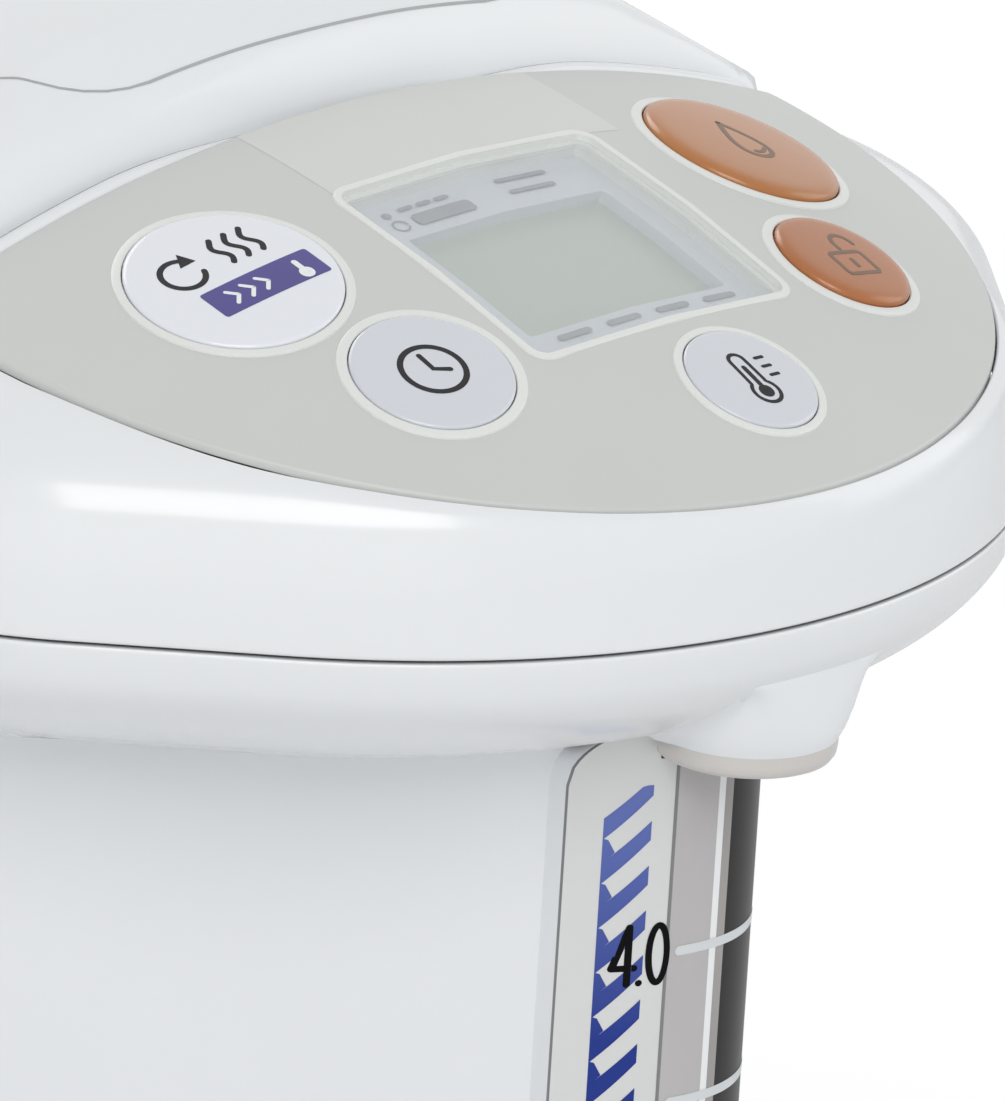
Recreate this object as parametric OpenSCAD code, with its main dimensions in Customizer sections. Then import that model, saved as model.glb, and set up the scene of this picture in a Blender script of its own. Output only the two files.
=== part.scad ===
// Electric thermo pot: egg-shaped body on a swivel base, overhanging head with a domed
// control panel, hinged lid, swing handle, level gauge and a pump that lifts water to the spout.
// Axes: X to the user's right, -Y towards the user, Z up. Origin: base centre on the table.

/* [Head] */
// How far the head overhangs the body at the sides
head_over = 4.5; // [2:0.1:8]
// How far the nose of the head overhangs the front of the body
nose_over = 22.1; // [19:0.1:27]
// Radius of the nose of the head, seen from above
nose_r = 94.7; // [88:0.1:98]
// Radius of the two front shoulders of the head, seen from above
shoulder_r = 60; // [54:1:66]
// Distance of the shoulder centres in front of the body axis
shoulder_y = 60.5; // [56:0.5:64]
// Height of the seam between head and rim above the table
seam_z = 275; // [265:1:300]
// Height of the rim below the seam, down to the body
rim_h = 25; // [22:1:27]
// Wall of the moulded covers
cover_t = 2.4; // [2:0.1:3]

/* [Dome] */
// Radius of the dome that carries the panel
dome_r = 247; // [235:1:260]
// Height of the dome's top above the seam
dome_h = 49.7; // [48:0.1:53]
// Distance of the dome's top in front of the body axis
dome_y = 26.7; // [24:0.1:30]

/* [Control panel] */
// Radius of the panel's front edge, seen from above
panel_r = 82; // [80:0.5:84]
// Distance from the nose of the head back to the panel's front edge
panel_in = 3.4; // [2.5:0.1:5]
// Distance from the panel's front edge to its straight back edge
panel_l = 88; // [86:0.1:89]
// Thickness of the panel skin
panel_t = 1.2; // [1:0.1:1.6]
// Width of the display window
window_w = 47.7; // [44:0.1:50]
// Length of the display window, front to back
window_l = 40.5; // [37:0.1:42]
// Distance from the panel's front edge to the window's centre
window_in = 49.5; // [47.5:0.1:51.5]
// Width of the display glass
display_w = 38; // [32:0.5:40]
// Length of the display glass
display_l = 24.4; // [20:0.2:26]
// How far the display glass sits in front of the window's centre
display_shift = 1.8; // [0:0.1:2.5]

/* [Buttons] */
// Cap radius of the two large buttons
large_r = 14.2; // [12:0.1:15]
// Sideways place of the large buttons
large_x = 48.5; // [46:0.1:50]
// Distance from the panel's front edge to the large buttons
large_in = 62.9; // [62:0.1:65]
// Cap radius of the two small buttons
small_r = 10; // [9:0.1:11]
// Sideways place of the small buttons
small_x = 39.2; // [38:0.1:41]
// Distance from the panel's front edge to the small buttons
small_in = 35.4; // [34:0.1:36.5]
// Cap radius of the front button
front_r = 8.6; // [7.5:0.1:9.5]
// Sideways place of the front button
front_x = 2.4; // [0:0.1:4]
// Distance from the panel's front edge to the front button
front_in = 17.4; // [16.5:0.1:18.5]
// How far a button cap stands above the panel
button_up = 0.8; // [0.4:0.1:1.2]
// Travel of a button
button_travel = 1; // [0.8:0.1:1.2]
// Running gap around a button cap
button_gap = 0.4; // [0.3:0.05:0.5]

/* [Body] */
// Radius of the body around the vessel
body_r = 100; // [96:1:102]
// Radius of the body's front column
column_r = 32; // [30:1:36]
// Distance from the body axis to the front of that column
column_front = 131; // [128:1:133]
// Wall of the body sleeve
sleeve_t = 1.2; // [0.8:0.1:1.6]
// Height of the moulded bottom cover
bottom_h = 16; // [14:1:18]

/* [Level gauge] */
// Radius of the bulged gauge window
gauge_r = 27; // [25:0.5:30]
// Half the width of the gauge window
gauge_half_w = 19.5; // [17:0.5:20]
// How far the gauge window bulges out in front of the body
gauge_out = 3.7; // [3:0.1:5]
// Thickness of the gauge window
gauge_t = 1.6; // [1.2:0.1:2]
// Outer radius of the gauge tube
tube_r = 5.5; // [5:0.1:6]
// Wall of the gauge tube
tube_t = 1; // [0.8:0.1:1.2]

/* [Vessel] */
// Distance from the body's outer wall to the inside of the vessel, at the sides
vessel_gap = 15; // [14:0.5:20]
// Height of the vessel floor above the table
vessel_z = 54; // [52:1:58]
// Wall of the vessel
vessel_t = 1; // [0.8:0.1:1.4]
// Distance of the vessel axis behind the body axis
vessel_y = 8; // [6:0.5:9]
// How much smaller the radius of the vessel's mouth is
mouth_in = 28.5; // [28:0.5:34]
// Height of the vessel's mouth above the rim's lower edge
mouth_up = 14; // [13:0.5:15]

/* [Lid] */
// Height of the lid's top above the seam
lid_h = 65; // [62:1:70]
// Width of the head's strip between panel and lid
bead_w = 3.2; // [2.8:0.1:3.8]
// Width of the head's ledge around the lid
lid_ledge = 20; // [18:0.5:22]
// Gap around the lid
lid_gap = 0.6; // [0.5:0.1:0.8]
// Height of the lid's hinge above the seam
hinge_up = 25; // [24:0.5:28]

/* [Spout] */
// Distance of the spout axis in front of the body
spout_out = 6.5; // [6:0.1:8]
// Depth of the spout ring's upper edge below the seam
spout_drop = 20.1; // [19:0.1:22]
// Radius of the spout cup where the ring starts
spout_r = 13.3; // [12:0.1:14]
// Height of the spout ring
ring_h = 3.2; // [2.5:0.1:4]

/* [Handle] */
// Gap between the head and the handle's arms
handle_gap = 1; // [0.6:0.1:3]
// How far the handle reaches behind the head
handle_room = 31.5; // [24:0.5:36]
// Height of the handle's section
handle_h = 14; // [12:1:16]
// Thickness of the handle's arms
handle_t = 4; // [3.5:0.5:4.5]

/* [Swivel base] */
// Radius of the swivel base
turn_r = 78; // [70:1:84]
// Thickness of the swivel plate
plate_h = 5; // [4:0.5:6]
// Height of the gap between swivel plate and body
glide_h = 3; // [2.5:0.5:4]
// Height of the rubber pads
pad_h = 2; // [1.5:0.5:3]
// Running clearance of shafts in holes
fit = 0.05; // [0.02:0.01:0.08]

/* [Hidden] */
$fn = 64;
eps = 0.01;
seam_gap = 0.4;

white = [0.91, 0.92, 0.93];
panel_grey = [0.80, 0.80, 0.79];
orange = [0.78, 0.54, 0.38];
steel = [0.75, 0.76, 0.78];
dark = [0.22, 0.22, 0.24];
board_green = [0.12, 0.36, 0.22];

// Places in plan, as distances in front of the body axis
head_w = 2 * (body_r + head_over);
head_front = column_front + nose_over;
panel_front = head_front - panel_in;
panel_y = panel_front - panel_r;
panel_back = panel_front - panel_l;
lid_front = panel_back - bead_w;
window_y = panel_front - window_in;
large_y = panel_front - large_in;
small_y = panel_front - small_in;
front_y = panel_front - front_in;
gauge_front = column_front + gauge_out;
spout_y = column_front + spout_out;
vessel_r = body_r - vessel_gap;
mouth_r = vessel_r - mouth_in;

// Plan outlines: the convex hull of circles [x, y, radius], found by outward direction.
head_discs = [
    [0, nose_r - head_front, nose_r],
    [head_w / 2 - shoulder_r, -shoulder_y, shoulder_r],
    [shoulder_r - head_w / 2, -shoulder_y, shoulder_r],
    [0, 0, head_w / 2]
];
body_discs = [[0, 0, body_r], [0, column_r - column_front, column_r]];

function reach(disc, way) = disc[0] * way[0] + disc[1] * way[1] + disc[2];
function farthest(discs, way) =
    let (reaches = [for (disc = discs) reach(disc, way)], most = max(reaches))
    [for (k = [0 : len(discs) - 1]) if (reaches[k] > most - 1e-6) discs[k]][0];
function outline(discs, inset = 0, steps = 96) = [
    for (k = [0 : steps - 1])
        let (a = 360 * (k + 0.5) / steps, way = [cos(a), sin(a)], disc = farthest(discs, way))
        [disc[0] + (disc[2] - inset) * way[0], disc[1] + (disc[2] - inset) * way[1]]
];

// Heights above the table
plate_z = pad_h;
body_z = plate_z + plate_h + glide_h;
rim_z = seam_z - rim_h;
ring_z = seam_z - spout_drop - ring_h;
well_z = seam_z + 12;
lid_z = well_z + 2;
sleeve_z = body_z + bottom_h;
gauge_z0 = sleeve_z + 8;
gauge_z1 = ring_z - 0.3;
mouth_z = rim_z + mouth_up;

// Dome
dome_centre = [0, -dome_y, seam_z + dome_h - dome_r];
function dome_z(x, y) = dome_centre[2] + sqrt(dome_r * dome_r - x * x - pow(y + dome_y, 2));
function dome_at(x, y) = [x, y, dome_z(x, y)];
function dome_turn(x, y) =
    let (v = [x, y + dome_y, dome_z(x, y) - dome_centre[2]])
    [0, acos(v[2] / norm(v)), atan2(v[1], v[0])];
// Places children with their +Z along the dome's outward direction above the plan point x, y.
module on_dome(x, y, out = 0) {
    translate(dome_centre) rotate(dome_turn(x, y)) translate([0, 0, dome_r + out]) children();
}

// Swivel base
boss_r = 22;
boss_top = body_z + 6;
retainer_r = boss_r + 5;
retainer_h = 1.6;
glide_gap = 0.3;
floor_t = 3;
screw_r = 2;
screw_head_r = 4;

// Level gauge
gauge_centre_y = gauge_r - gauge_front;
plate_t = 0.6;
backing_t = 1.4;
slot_half_w = tube_r + 1;
socket_r = tube_r + 2.5;
tube_y = column_front - sleeve_t - socket_r - 0.6;
tube_z0 = vessel_z - 2;
tube_z1 = rim_z - 4;
joint_top = seam_z - 5;
pipe_r = 5;
pipe_bore = 3.6;
pipe_l = 6;
// The tip-over ball's chamber stands behind the spout ring.
chamber_y = spout_y - spout_r - socket_r - 0.5;
ball_r = 5;
ball_z = tube_z1 + 7.3;

// Pump and motor, below the vessel
pump_y = 46;
motor_r = 17;
motor_z0 = body_z + floor_t + 4;
motor_h = 14;
pump_r = 20;
pump_z0 = motor_z0 + motor_h + 4;
pump_h = 14;
pump_lid_t = 2;
shaft_r = 1.5;
outlet_r = 5;
outlet_t = 1.5;
outlet_z = pump_z0 + pump_h - pump_lid_t - outlet_r - outlet_t;
nozzle_l = 8;

// Power inlet at the back
inlet_w = 46;
inlet_h = 20;
inlet_d = 16;
inlet_z = sleeve_z + 2;
inlet_y = body_r - inlet_d;

// Electronics in the head
board_t = 1.6;
board_depth = 16;
board_w = 116;
board_back = 33;
board_ahead = 38;
switch_h = 4;
switch_gap = 0.3;
stem_r = 2.5;
board_way = (dome_at(0, -window_y) - dome_centre) / dome_r;
board_point = dome_at(0, -window_y) - board_depth * board_way;

// Lid and its hinge
hinge_y = head_w / 2 - lid_ledge + 8;
hinge_z = seam_z + hinge_up;
pin_r = 2;
knuckle_r = 5;
knuckle_half_w = 30;
lug_w = 6;
inner_lid_r = mouth_r + 6;
well_hole_r = inner_lid_r + 7;
well_floor_t = 3;
collar_t = 2.4;
seat_gap = 0.3;
gasket_h = 4;
lever_w = 44;
lever_l = 30;
lever_y = 70.5 - lid_front;
lever_z = seam_z + lid_h - 5;
lever_t = 3;
lever_pin_y = lever_y - 8;
lever_pin_z = lever_z + lever_t / 2;
lever_hub_r = 3;
finger_l = 14;
claw_w = 18;
claw_l = 24;
claw_z = lid_z + 4;
claw_h = 6;
claw_reach = 2.5;
claw_room = 22;
claw_travel = 3.5;
spring_r = 2;
spring_l = 12;
spring_x = 5;
spring_seat_y = lid_front + claw_reach - claw_l - claw_travel - 0.5;
vent_r = 15;
vent_x = -30;
vent_y = 34;
vent_h = 8;
vent_z = seam_z + lid_h - vent_h - 4;
baffle_r = 5.5;
inner_lid_t = 1.5;
base_t = 2.5;
release_w = 26;
release_h = 6;
release_z = lid_z + 4.4;

// Handle
pivot_y = 4;
pivot_z = seam_z + 9;
pivot_r = 3.5;
handle_w = head_w + 2 * (handle_gap + handle_t);
handle_back = head_w / 2 + handle_room;
arm_x = handle_w / 2 - handle_t;

module extruded(discs, inset, z, h) {
    translate([0, 0, z]) linear_extrude(h) polygon(outline(discs, inset));
}
module shell(discs, outer, wall, z, h) {
    difference() {
        extruded(discs, outer, z, h);
        extruded(discs, outer + wall, z - 1, h + 2);
    }
}
module ring(r_out, r_in, z, h) {
    translate([0, 0, z]) difference() {
        cylinder(h = h, r = r_out);
        translate([0, 0, -1]) cylinder(h = h + 2, r = r_in);
    }
}
module around(count, r, start = 0) {
    for (k = [0 : count - 1]) rotate(start + 360 * k / count) translate([r, 0, 0]) children();
}
module screw(length) {
    cylinder(h = 2, r = screw_head_r);
    translate([0, 0, 2 - eps]) cylinder(h = length, r = screw_r);
}

// ---- swivel base ----
module foot_pads() {
    color("dimgray") {
        around(5, turn_r - 10) cylinder(h = pad_h, r = 7);
        cylinder(h = pad_h, r = 10);
    }
}
module turntable() {
    color(white) difference() {
        union() {
            translate([0, 0, plate_z]) cylinder(h = plate_h, r = turn_r);
            translate([0, 0, plate_z]) cylinder(h = boss_top - plate_z, r = boss_r);
        }
        translate([0, 0, plate_z + 2]) cylinder(h = boss_top, r = boss_r - 6);
    }
}
module swivel_retainer() {
    color(steel) ring(retainer_r, boss_r - 6, boss_top, retainer_h);
}

// ---- bottom ----
// The four bottom screws and the posts they hold lie on the vessel's supporting ring.
frame_r = vessel_r + vessel_t - 2;
frame_w = 8;
frame_z = vessel_z - vessel_t - 4;
module at_posts() {
    translate([0, vessel_y, 0]) around(4, frame_r - frame_w / 2, 45) children();
}
module bottom_cover() {
    color(white) difference() {
        extruded(body_discs, 0, body_z, bottom_h);
        difference() {
            extruded(body_discs, cover_t, body_z + floor_t, bottom_h);
            translate([0, 0, body_z]) cylinder(h = boss_top - body_z - glide_gap, r = retainer_r + 4);
        }
        translate([0, 0, body_z - 1]) cylinder(h = bottom_h, r = boss_r + fit);
        at_posts() translate([0, 0, body_z - 1]) cylinder(h = floor_t + 2, r = screw_r);
    }
}
module glide_pads() {
    color(dark) around(3, turn_r - 22, 30) translate([0, 0, body_z - glide_h + glide_gap])
        cylinder(h = glide_h - glide_gap, r = 6);
}
module base_frame() {
    color("lightgray") difference() {
        union() {
            translate([0, vessel_y, 0]) ring(frame_r, frame_r - frame_w, frame_z, 4);
            at_posts() translate([0, 0, body_z + floor_t])
                cylinder(h = frame_z + 1 - body_z - floor_t, r = frame_w / 2 - 0.2);
        }
        at_posts() translate([0, 0, body_z]) cylinder(h = floor_t + 9, r = screw_r);
    }
}
module bottom_screws() {
    color(steel) at_posts() translate([0, 0, body_z - 2]) screw(10);
}
module inlet_cut(grow) {
    translate([-inlet_w / 2 - grow, inlet_y - grow, inlet_z - grow])
        cube([inlet_w + 2 * grow, inlet_d + 20, inlet_h + 2 * grow]);
}
module inlet_housing() {
    mouth_w = inlet_w - 8;
    mouth_h = inlet_h - 8;
    color(dark) intersection() {
        difference() {
            translate([-inlet_w / 2, inlet_y, inlet_z]) cube([inlet_w, inlet_d + 20, inlet_h]);
            translate([-mouth_w / 2, inlet_y + 6, inlet_z + 4]) cube([mouth_w, inlet_d + 20, mouth_h]);
            for (side = [-1, 1]) translate([side * 8, inlet_y - 1, inlet_z + inlet_h / 2])
                rotate([-90, 0, 0]) cylinder(h = 10, r = 1.5);
        }
        extruded(body_discs, 0, inlet_z - 1, inlet_h + 2);
    }
}
module inlet_pins() {
    color("gold") for (side = [-1, 1]) translate([side * 8, inlet_y - 3, inlet_z + inlet_h / 2])
        rotate([-90, 0, 0]) cylinder(h = inlet_d - 3, r = 1.5);
}
module inlet_magnet() {
    plate_w = inlet_w - 12;
    color(steel) difference() {
        translate([-plate_w / 2, inlet_y + 6, inlet_z + 5]) cube([plate_w, 1.5, inlet_h - 10]);
        for (side = [-1, 1]) translate([side * 8, inlet_y, inlet_z + inlet_h / 2])
            rotate([-90, 0, 0]) cylinder(h = 20, r = 3.5);
    }
}

// ---- body ----
module body_sleeve() {
    color(white) difference() {
        shell(body_discs, 0, sleeve_t, sleeve_z, rim_z - sleeve_z);
        translate([-gauge_half_w, -column_front - 5, gauge_z0])
            cube([2 * gauge_half_w, gauge_r, rim_h + rim_z]);
        inlet_cut(0.2);
    }
}
// Curved strip of the gauge, between two radii around the gauge's own centre.
module gauge_strip(r_out, r_in, half_w, z0, z1) {
    intersection() {
        translate([0, gauge_centre_y, 0]) ring(r_out, r_in, z0, z1 - z0);
        translate([-half_w, -gauge_front - 1, z0 - 1]) cube([2 * half_w, gauge_r, z1 - z0 + 2]);
    }
}
module gauge_window() {
    color([0.85, 0.88, 0.9, 0.5])
        gauge_strip(gauge_r, gauge_r - gauge_t, gauge_half_w, gauge_z0, gauge_z1);
}
module gauge_plate() {
    outer = gauge_r - gauge_t;
    color(panel_grey) difference() {
        gauge_strip(outer, outer - plate_t, gauge_half_w - 1.5, gauge_z0 + 2, gauge_z1 - 1);
        translate([-slot_half_w, -gauge_front - 1, gauge_z0 + 10])
            cube([2 * slot_half_w, 20, gauge_z1 - gauge_z0 - 20]);
    }
}
module gauge_backing() {
    outer = gauge_r - gauge_t - plate_t;
    color(white) difference() {
        gauge_strip(outer, outer - backing_t, gauge_half_w - 4, gauge_z0 + 4, gauge_z1 - 2);
        translate([-slot_half_w, -gauge_front - 1, gauge_z0 + 12])
            cube([2 * slot_half_w, 20, gauge_z1 - gauge_z0 - 24]);
    }
}
module gauge_tube() {
    color([0.8, 0.85, 0.88, 0.6]) translate([0, -tube_y, 0])
        ring(tube_r, tube_r - tube_t, tube_z0, tube_z1 - tube_z0);
}
module gauge_seals() {
    color("dimgray") for (z = [tube_z0 + 1, tube_z1 - 5]) translate([0, -tube_y, 0])
        ring(tube_r + 1.2, tube_r, z, 4);
}
module lower_joint() {
    inner = tube_r - tube_t;
    color("whitesmoke") difference() {
        union() {
            translate([0, -tube_y, outlet_z - 7]) cylinder(h = tube_z0 + 8 - outlet_z + 7, r = socket_r);
            translate([0, -tube_y, outlet_z]) rotate([-90, 0, 0])
                cylinder(h = tube_y - pump_y - pump_r - nozzle_l, r = outlet_r + outlet_t);
        }
        translate([0, -tube_y, tube_z0]) cylinder(h = 20, r = tube_r + 1.2);
        translate([0, -tube_y, outlet_z - 5]) cylinder(h = 40, r = inner);
        translate([0, -tube_y, outlet_z]) rotate([-90, 0, 0])
            cylinder(h = tube_y - pump_y - pump_r, r = outlet_r);
    }
}
// Socket over the tube's top, with the ball's chamber behind it and a passage between them.
module upper_joint() {
    socket_h = 6;
    seat_r = 3;
    color("whitesmoke") difference() {
        union() {
            translate([0, -tube_y, tube_z1 - socket_h])
                cylinder(h = ring_z - 0.5 - tube_z1 + socket_h, r = socket_r);
            translate([0, -chamber_y, tube_z1 - socket_h])
                cylinder(h = joint_top - tube_z1 + socket_h, r = socket_r);
        }
        translate([0, -tube_y, tube_z1 - socket_h - 1]) cylinder(h = socket_h + 1, r = tube_r + 1.2);
        translate([0, -(tube_y + chamber_y) / 2, tube_z1 - 1])
            cylinder(h = ball_z - ball_r - tube_z1 + 1.5, r = seat_r);
        translate([0, -chamber_y, ball_z - ball_r - 0.3])
            cylinder(h = joint_top - pipe_l - ball_z + ball_r - 0.7, r = ball_r + 0.5);
        translate([0, -chamber_y, ball_z]) cylinder(h = joint_top - ball_z + 1, r = pipe_r - 1);
        translate([0, -chamber_y, joint_top - pipe_l]) cylinder(h = pipe_l + 1, r = pipe_r);
    }
}
module tip_ball() {
    color(steel) translate([0, -chamber_y, ball_z]) sphere(r = ball_r);
}
// The pipe's path: up from the chamber, round a half circle and down to the spout.
module along_pipe(r, low, down) {
    bend_r = (spout_y - chamber_y) / 2;
    translate([0, -chamber_y, low]) cylinder(h = joint_top - low + eps, r = r);
    translate([0, -chamber_y - bend_r, joint_top]) rotate([90, 0, 90])
        rotate_extrude(angle = 180) translate([bend_r, 0]) circle(r = r);
    translate([0, -spout_y, down]) cylinder(h = joint_top - down + eps, r = r);
}
module spout_pipe() {
    color("whitesmoke") difference() {
        along_pipe(pipe_r, joint_top - pipe_l, ring_z + 2);
        along_pipe(pipe_bore, joint_top - pipe_l - 1, ring_z);
    }
}

// ---- vessel and heating ----
module inner_vessel() {
    out = vessel_r + vessel_t;
    neck = mouth_r + vessel_t;
    slope_z = mouth_z - 18;
    drop = vessel_t * 0.6;
    flange_r = well_hole_r + collar_t + 0.6;
    color(steel) translate([0, vessel_y, 0]) difference() {
        rotate_extrude($fn = 128) polygon([
            [0, vessel_z - vessel_t], [out - 3, vessel_z - vessel_t], [out, vessel_z + 3],
            [out, slope_z], [neck, mouth_z - 5], [neck, mouth_z - vessel_t],
            [flange_r, mouth_z - vessel_t], [flange_r, mouth_z], [mouth_r, mouth_z],
            [mouth_r, mouth_z - 5 - drop], [vessel_r, slope_z - drop], [vessel_r, vessel_z + 3],
            [vessel_r - 3, vessel_z], [0, vessel_z]
        ]);
        translate([0, -pump_y - vessel_y, vessel_z - 5]) cylinder(h = 10, r = outlet_r + outlet_t);
    }
}
heater_t = 1.5;
heater_h = 30;
module heater_band() {
    out = vessel_r + vessel_t;
    color("peru") translate([0, vessel_y, 0])
        ring(out + heater_t, out, vessel_z + heater_h / 3, heater_h);
}
sensor_h = 9;
sensor_r = 5;
module thermistor() {
    color("silver") translate([30, vessel_y + 30, vessel_z - vessel_t - sensor_h]) {
        cylinder(h = sensor_h, r = sensor_r);
        translate([0, 0, -2]) cylinder(h = 3, r = sensor_r + 2);
    }
}
fuse_h = 5;
fuse_l = 16;
module thermal_fuse() {
    color("ivory") translate([-38, vessel_y + 24, vessel_z - vessel_t - fuse_h]) {
        translate([-fuse_l / 2, -4, 0]) cube([fuse_l, 8, fuse_h]);
        translate([-fuse_l / 2 - 6, 0, fuse_h / 2]) rotate([0, 90, 0])
            cylinder(h = fuse_l + 12, r = 1);
    }
}
module vessel_outlet() {
    color("whitesmoke") translate([0, -pump_y, 0]) {
        ring(outlet_r + outlet_t, outlet_r, pump_z0 + pump_h, vessel_z + 2 - pump_z0 - pump_h);
    }
}

// ---- pump ----
module pump_housing() {
    wall = 2;
    color("whitesmoke") difference() {
        union() {
            translate([0, -pump_y, pump_z0]) cylinder(h = pump_h - pump_lid_t, r = pump_r);
            translate([0, -pump_y - pump_r + 3, outlet_z]) rotate([90, 0, 0])
                cylinder(h = nozzle_l + 3, r = outlet_r + outlet_t);
        }
        translate([0, -pump_y, pump_z0 + wall]) cylinder(h = pump_h, r = pump_r - wall);
        translate([0, -pump_y - pump_r + 6, outlet_z]) rotate([90, 0, 0])
            cylinder(h = nozzle_l + 12, r = outlet_r - 1);
    }
    color(steel) translate([0, -pump_y, pump_z0 + 1]) cylinder(h = pump_h - 6, r = shaft_r);
}
module pump_cover() {
    color("whitesmoke") translate([0, -pump_y, 0])
        ring(pump_r, outlet_r, pump_z0 + pump_h - pump_lid_t, pump_lid_t);
}
module impeller() {
    disc_z = pump_z0 + 2.5;
    disc_t = 1.5;
    hub_r = 4;
    hub_h = 6;
    vane_t = 1.2;
    vane_reach = pump_r - 6;
    color("tomato") translate([0, -pump_y, 0]) difference() {
        union() {
            translate([0, 0, disc_z]) cylinder(h = disc_t, r = vane_reach);
            translate([0, 0, disc_z]) cylinder(h = hub_h, r = hub_r);
            for (a = [0 : 60 : 300]) rotate(a)
                translate([hub_r - 1, -vane_t / 2, disc_z + disc_t - eps])
                    cube([vane_reach - hub_r + 0.5, vane_t, hub_h - disc_t - 0.5]);
        }
        translate([0, 0, disc_z - 1]) cylinder(h = hub_h + 2, r = shaft_r + fit);
    }
}
module pump_motor() {
    wall = 1.5;
    color("gray") translate([0, -pump_y, 0]) {
        difference() {
            translate([0, 0, motor_z0]) cylinder(h = motor_h, r = motor_r);
            translate([0, 0, motor_z0 + 2]) cylinder(h = motor_h, r = motor_r - wall);
            translate([0, 0, motor_z0 - 1]) cylinder(h = 4, r = shaft_r + fit);
        }
        for (side = [-1, 1]) translate([side * (motor_r - 2), 0, body_z + floor_t])
            cylinder(h = motor_z0 - body_z - floor_t + eps, r = 2 * wall);
    }
}
module motor_rotor() {
    magnet_r = motor_r - 5;
    magnet_h = 3;
    color("dimgray") translate([0, -pump_y, 0]) {
        translate([0, 0, motor_z0 + 3]) cylinder(h = motor_h - 3, r = motor_r - 3);
        translate([0, 0, motor_z0 + 0.5]) cylinder(h = motor_h + 2, r = shaft_r);
        translate([0, 0, motor_z0 + motor_h + 0.5]) cylinder(h = magnet_h, r = magnet_r);
    }
}
// Board on four feet, with a transformer, a capacitor and a heat sink.
power_w = 80;
power_l = 44;
power_front = 28;
power_up = 5;
part_h = 14;
module power_board() {
    board_z = body_z + floor_t + power_up;
    color(board_green) translate([-power_w / 2, power_front, board_z])
        cube([power_w, power_l, board_t]);
    color("dimgray") translate([0, power_front, board_z + board_t - eps]) {
        translate([10 - power_w / 2, 6, 0]) cube([22, 20, part_h]);
        translate([6, 8, 0]) cylinder(h = part_h, r = 6);
        translate([24, 12, 0]) cube([8, 24, part_h - 4]);
    }
    color("dimgray") for (x = [4, power_w - 4], y = [3, power_l - 3])
        translate([x - power_w / 2, power_front + y, body_z + floor_t])
            cylinder(h = power_up + eps, r = 2);
}

// ---- head ----
// Rim steps [height below the seam, inset], from the seam to the body.
rim_steps = [[0, 0], [6, 0.8], [10, 2.6], [14, 6.5], [18, 12], [22, 19]];
module rim_solid(shrink) {
    hull() {
        for (step = rim_steps)
            if (step[0] < rim_h) extruded(head_discs, step[1] + shrink, seam_z - step[0] - eps, eps);
        extruded(body_discs, -1.5 + shrink, rim_z, eps);
    }
}
// Screw posts stand inside the shoulders and the back of the head, at one distance from its edge.
function post_at(disc, inset, way) =
    [disc[0] + (disc[2] - inset) * cos(way), disc[1] + (disc[2] - inset) * sin(way)];
posts = [post_at(head_discs[1], 22.5, -47), post_at(head_discs[3], 18.5, 35.5)];
post_r = 5;
post_h = 20;
rib_t = 2;
module at_head_screws() {
    for (side = [-1, 1], post = posts) translate([side * post[0], post[1], 0]) children();
}
// Ribs that tie the screw posts to the walls outside them.
module screw_ribs() {
    for (side = [-1, 1], post = posts) translate([side * post[0], post[1], 0])
        rotate(side > 0 ? sign(post[1]) * 40 : 180 - sign(post[1]) * 40)
            translate([0, -rib_t / 2, 0]) cube([2 * post_h, rib_t, 3 * post_h]);
}
module rim() {
    cup_z = seam_z - spout_drop;
    cup_low = 4;
    cup_r = spout_r + 1.7;
    color(white) difference() {
        union() {
            difference() {
                rim_solid(0);
                translate([0, 0, cover_t]) rim_solid(cover_t);
            }
            translate([0, -spout_y, cup_z]) cylinder(h = cup_low, r1 = spout_r, r2 = cup_r);
            translate([0, -spout_y, cup_z + cup_low - eps]) cylinder(h = 8, r1 = cup_r, r2 = cup_r + 0.6);
            at_head_screws() translate([0, 0, seam_z - post_h])
                cylinder(h = post_h - seam_gap, r = post_r);
            intersection() {
                rim_solid(0.5);
                translate([0, 0, seam_z - 12]) screw_ribs();
            }
        }
        translate([0, 0, -1]) extruded(body_discs, sleeve_t + 0.5, rim_z, rim_h - 8);
        translate([0, -spout_y, rim_z - 1]) cylinder(h = rim_h - 5, r = spout_r - 1.6);
        translate([0, -spout_y, ring_z]) cylinder(h = ring_h, r = spout_r);
        translate([0, -chamber_y, rim_z - 1]) cylinder(h = rim_h, r = socket_r + 0.3);
        intersection() {
            translate([0, gauge_centre_y, rim_z - 1]) cylinder(h = gauge_z1 - rim_z + 1, r = gauge_r);
            translate([-gauge_half_w, -gauge_front - 1, rim_z - 2])
                cube([2 * gauge_half_w, gauge_r, rim_h]);
        }
        extruded(head_discs, -5, seam_z - seam_gap, 5);
        at_head_screws() {
            translate([0, 0, rim_z - 1]) cylinder(h = rim_h - post_h + 1, r = screw_head_r);
            translate([0, 0, seam_z - post_h - 1]) cylinder(h = post_h + 2, r = screw_r);
        }
    }
}
module spout_ring() {
    color([0.8, 0.78, 0.76]) translate([0, -spout_y, 0]) difference() {
        union() {
            translate([0, 0, ring_z + 1]) cylinder(h = ring_h - 1, r = spout_r);
            translate([0, 0, ring_z]) cylinder(h = 1 + eps, r1 = spout_r - 1, r2 = spout_r);
            translate([0, 0, ring_z + ring_h - eps]) cylinder(h = 5, r = spout_r - 1.6);
        }
        translate([0, 0, ring_z - 1]) cylinder(h = ring_h + 8, r = spout_r - 3.4);
    }
}
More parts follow.
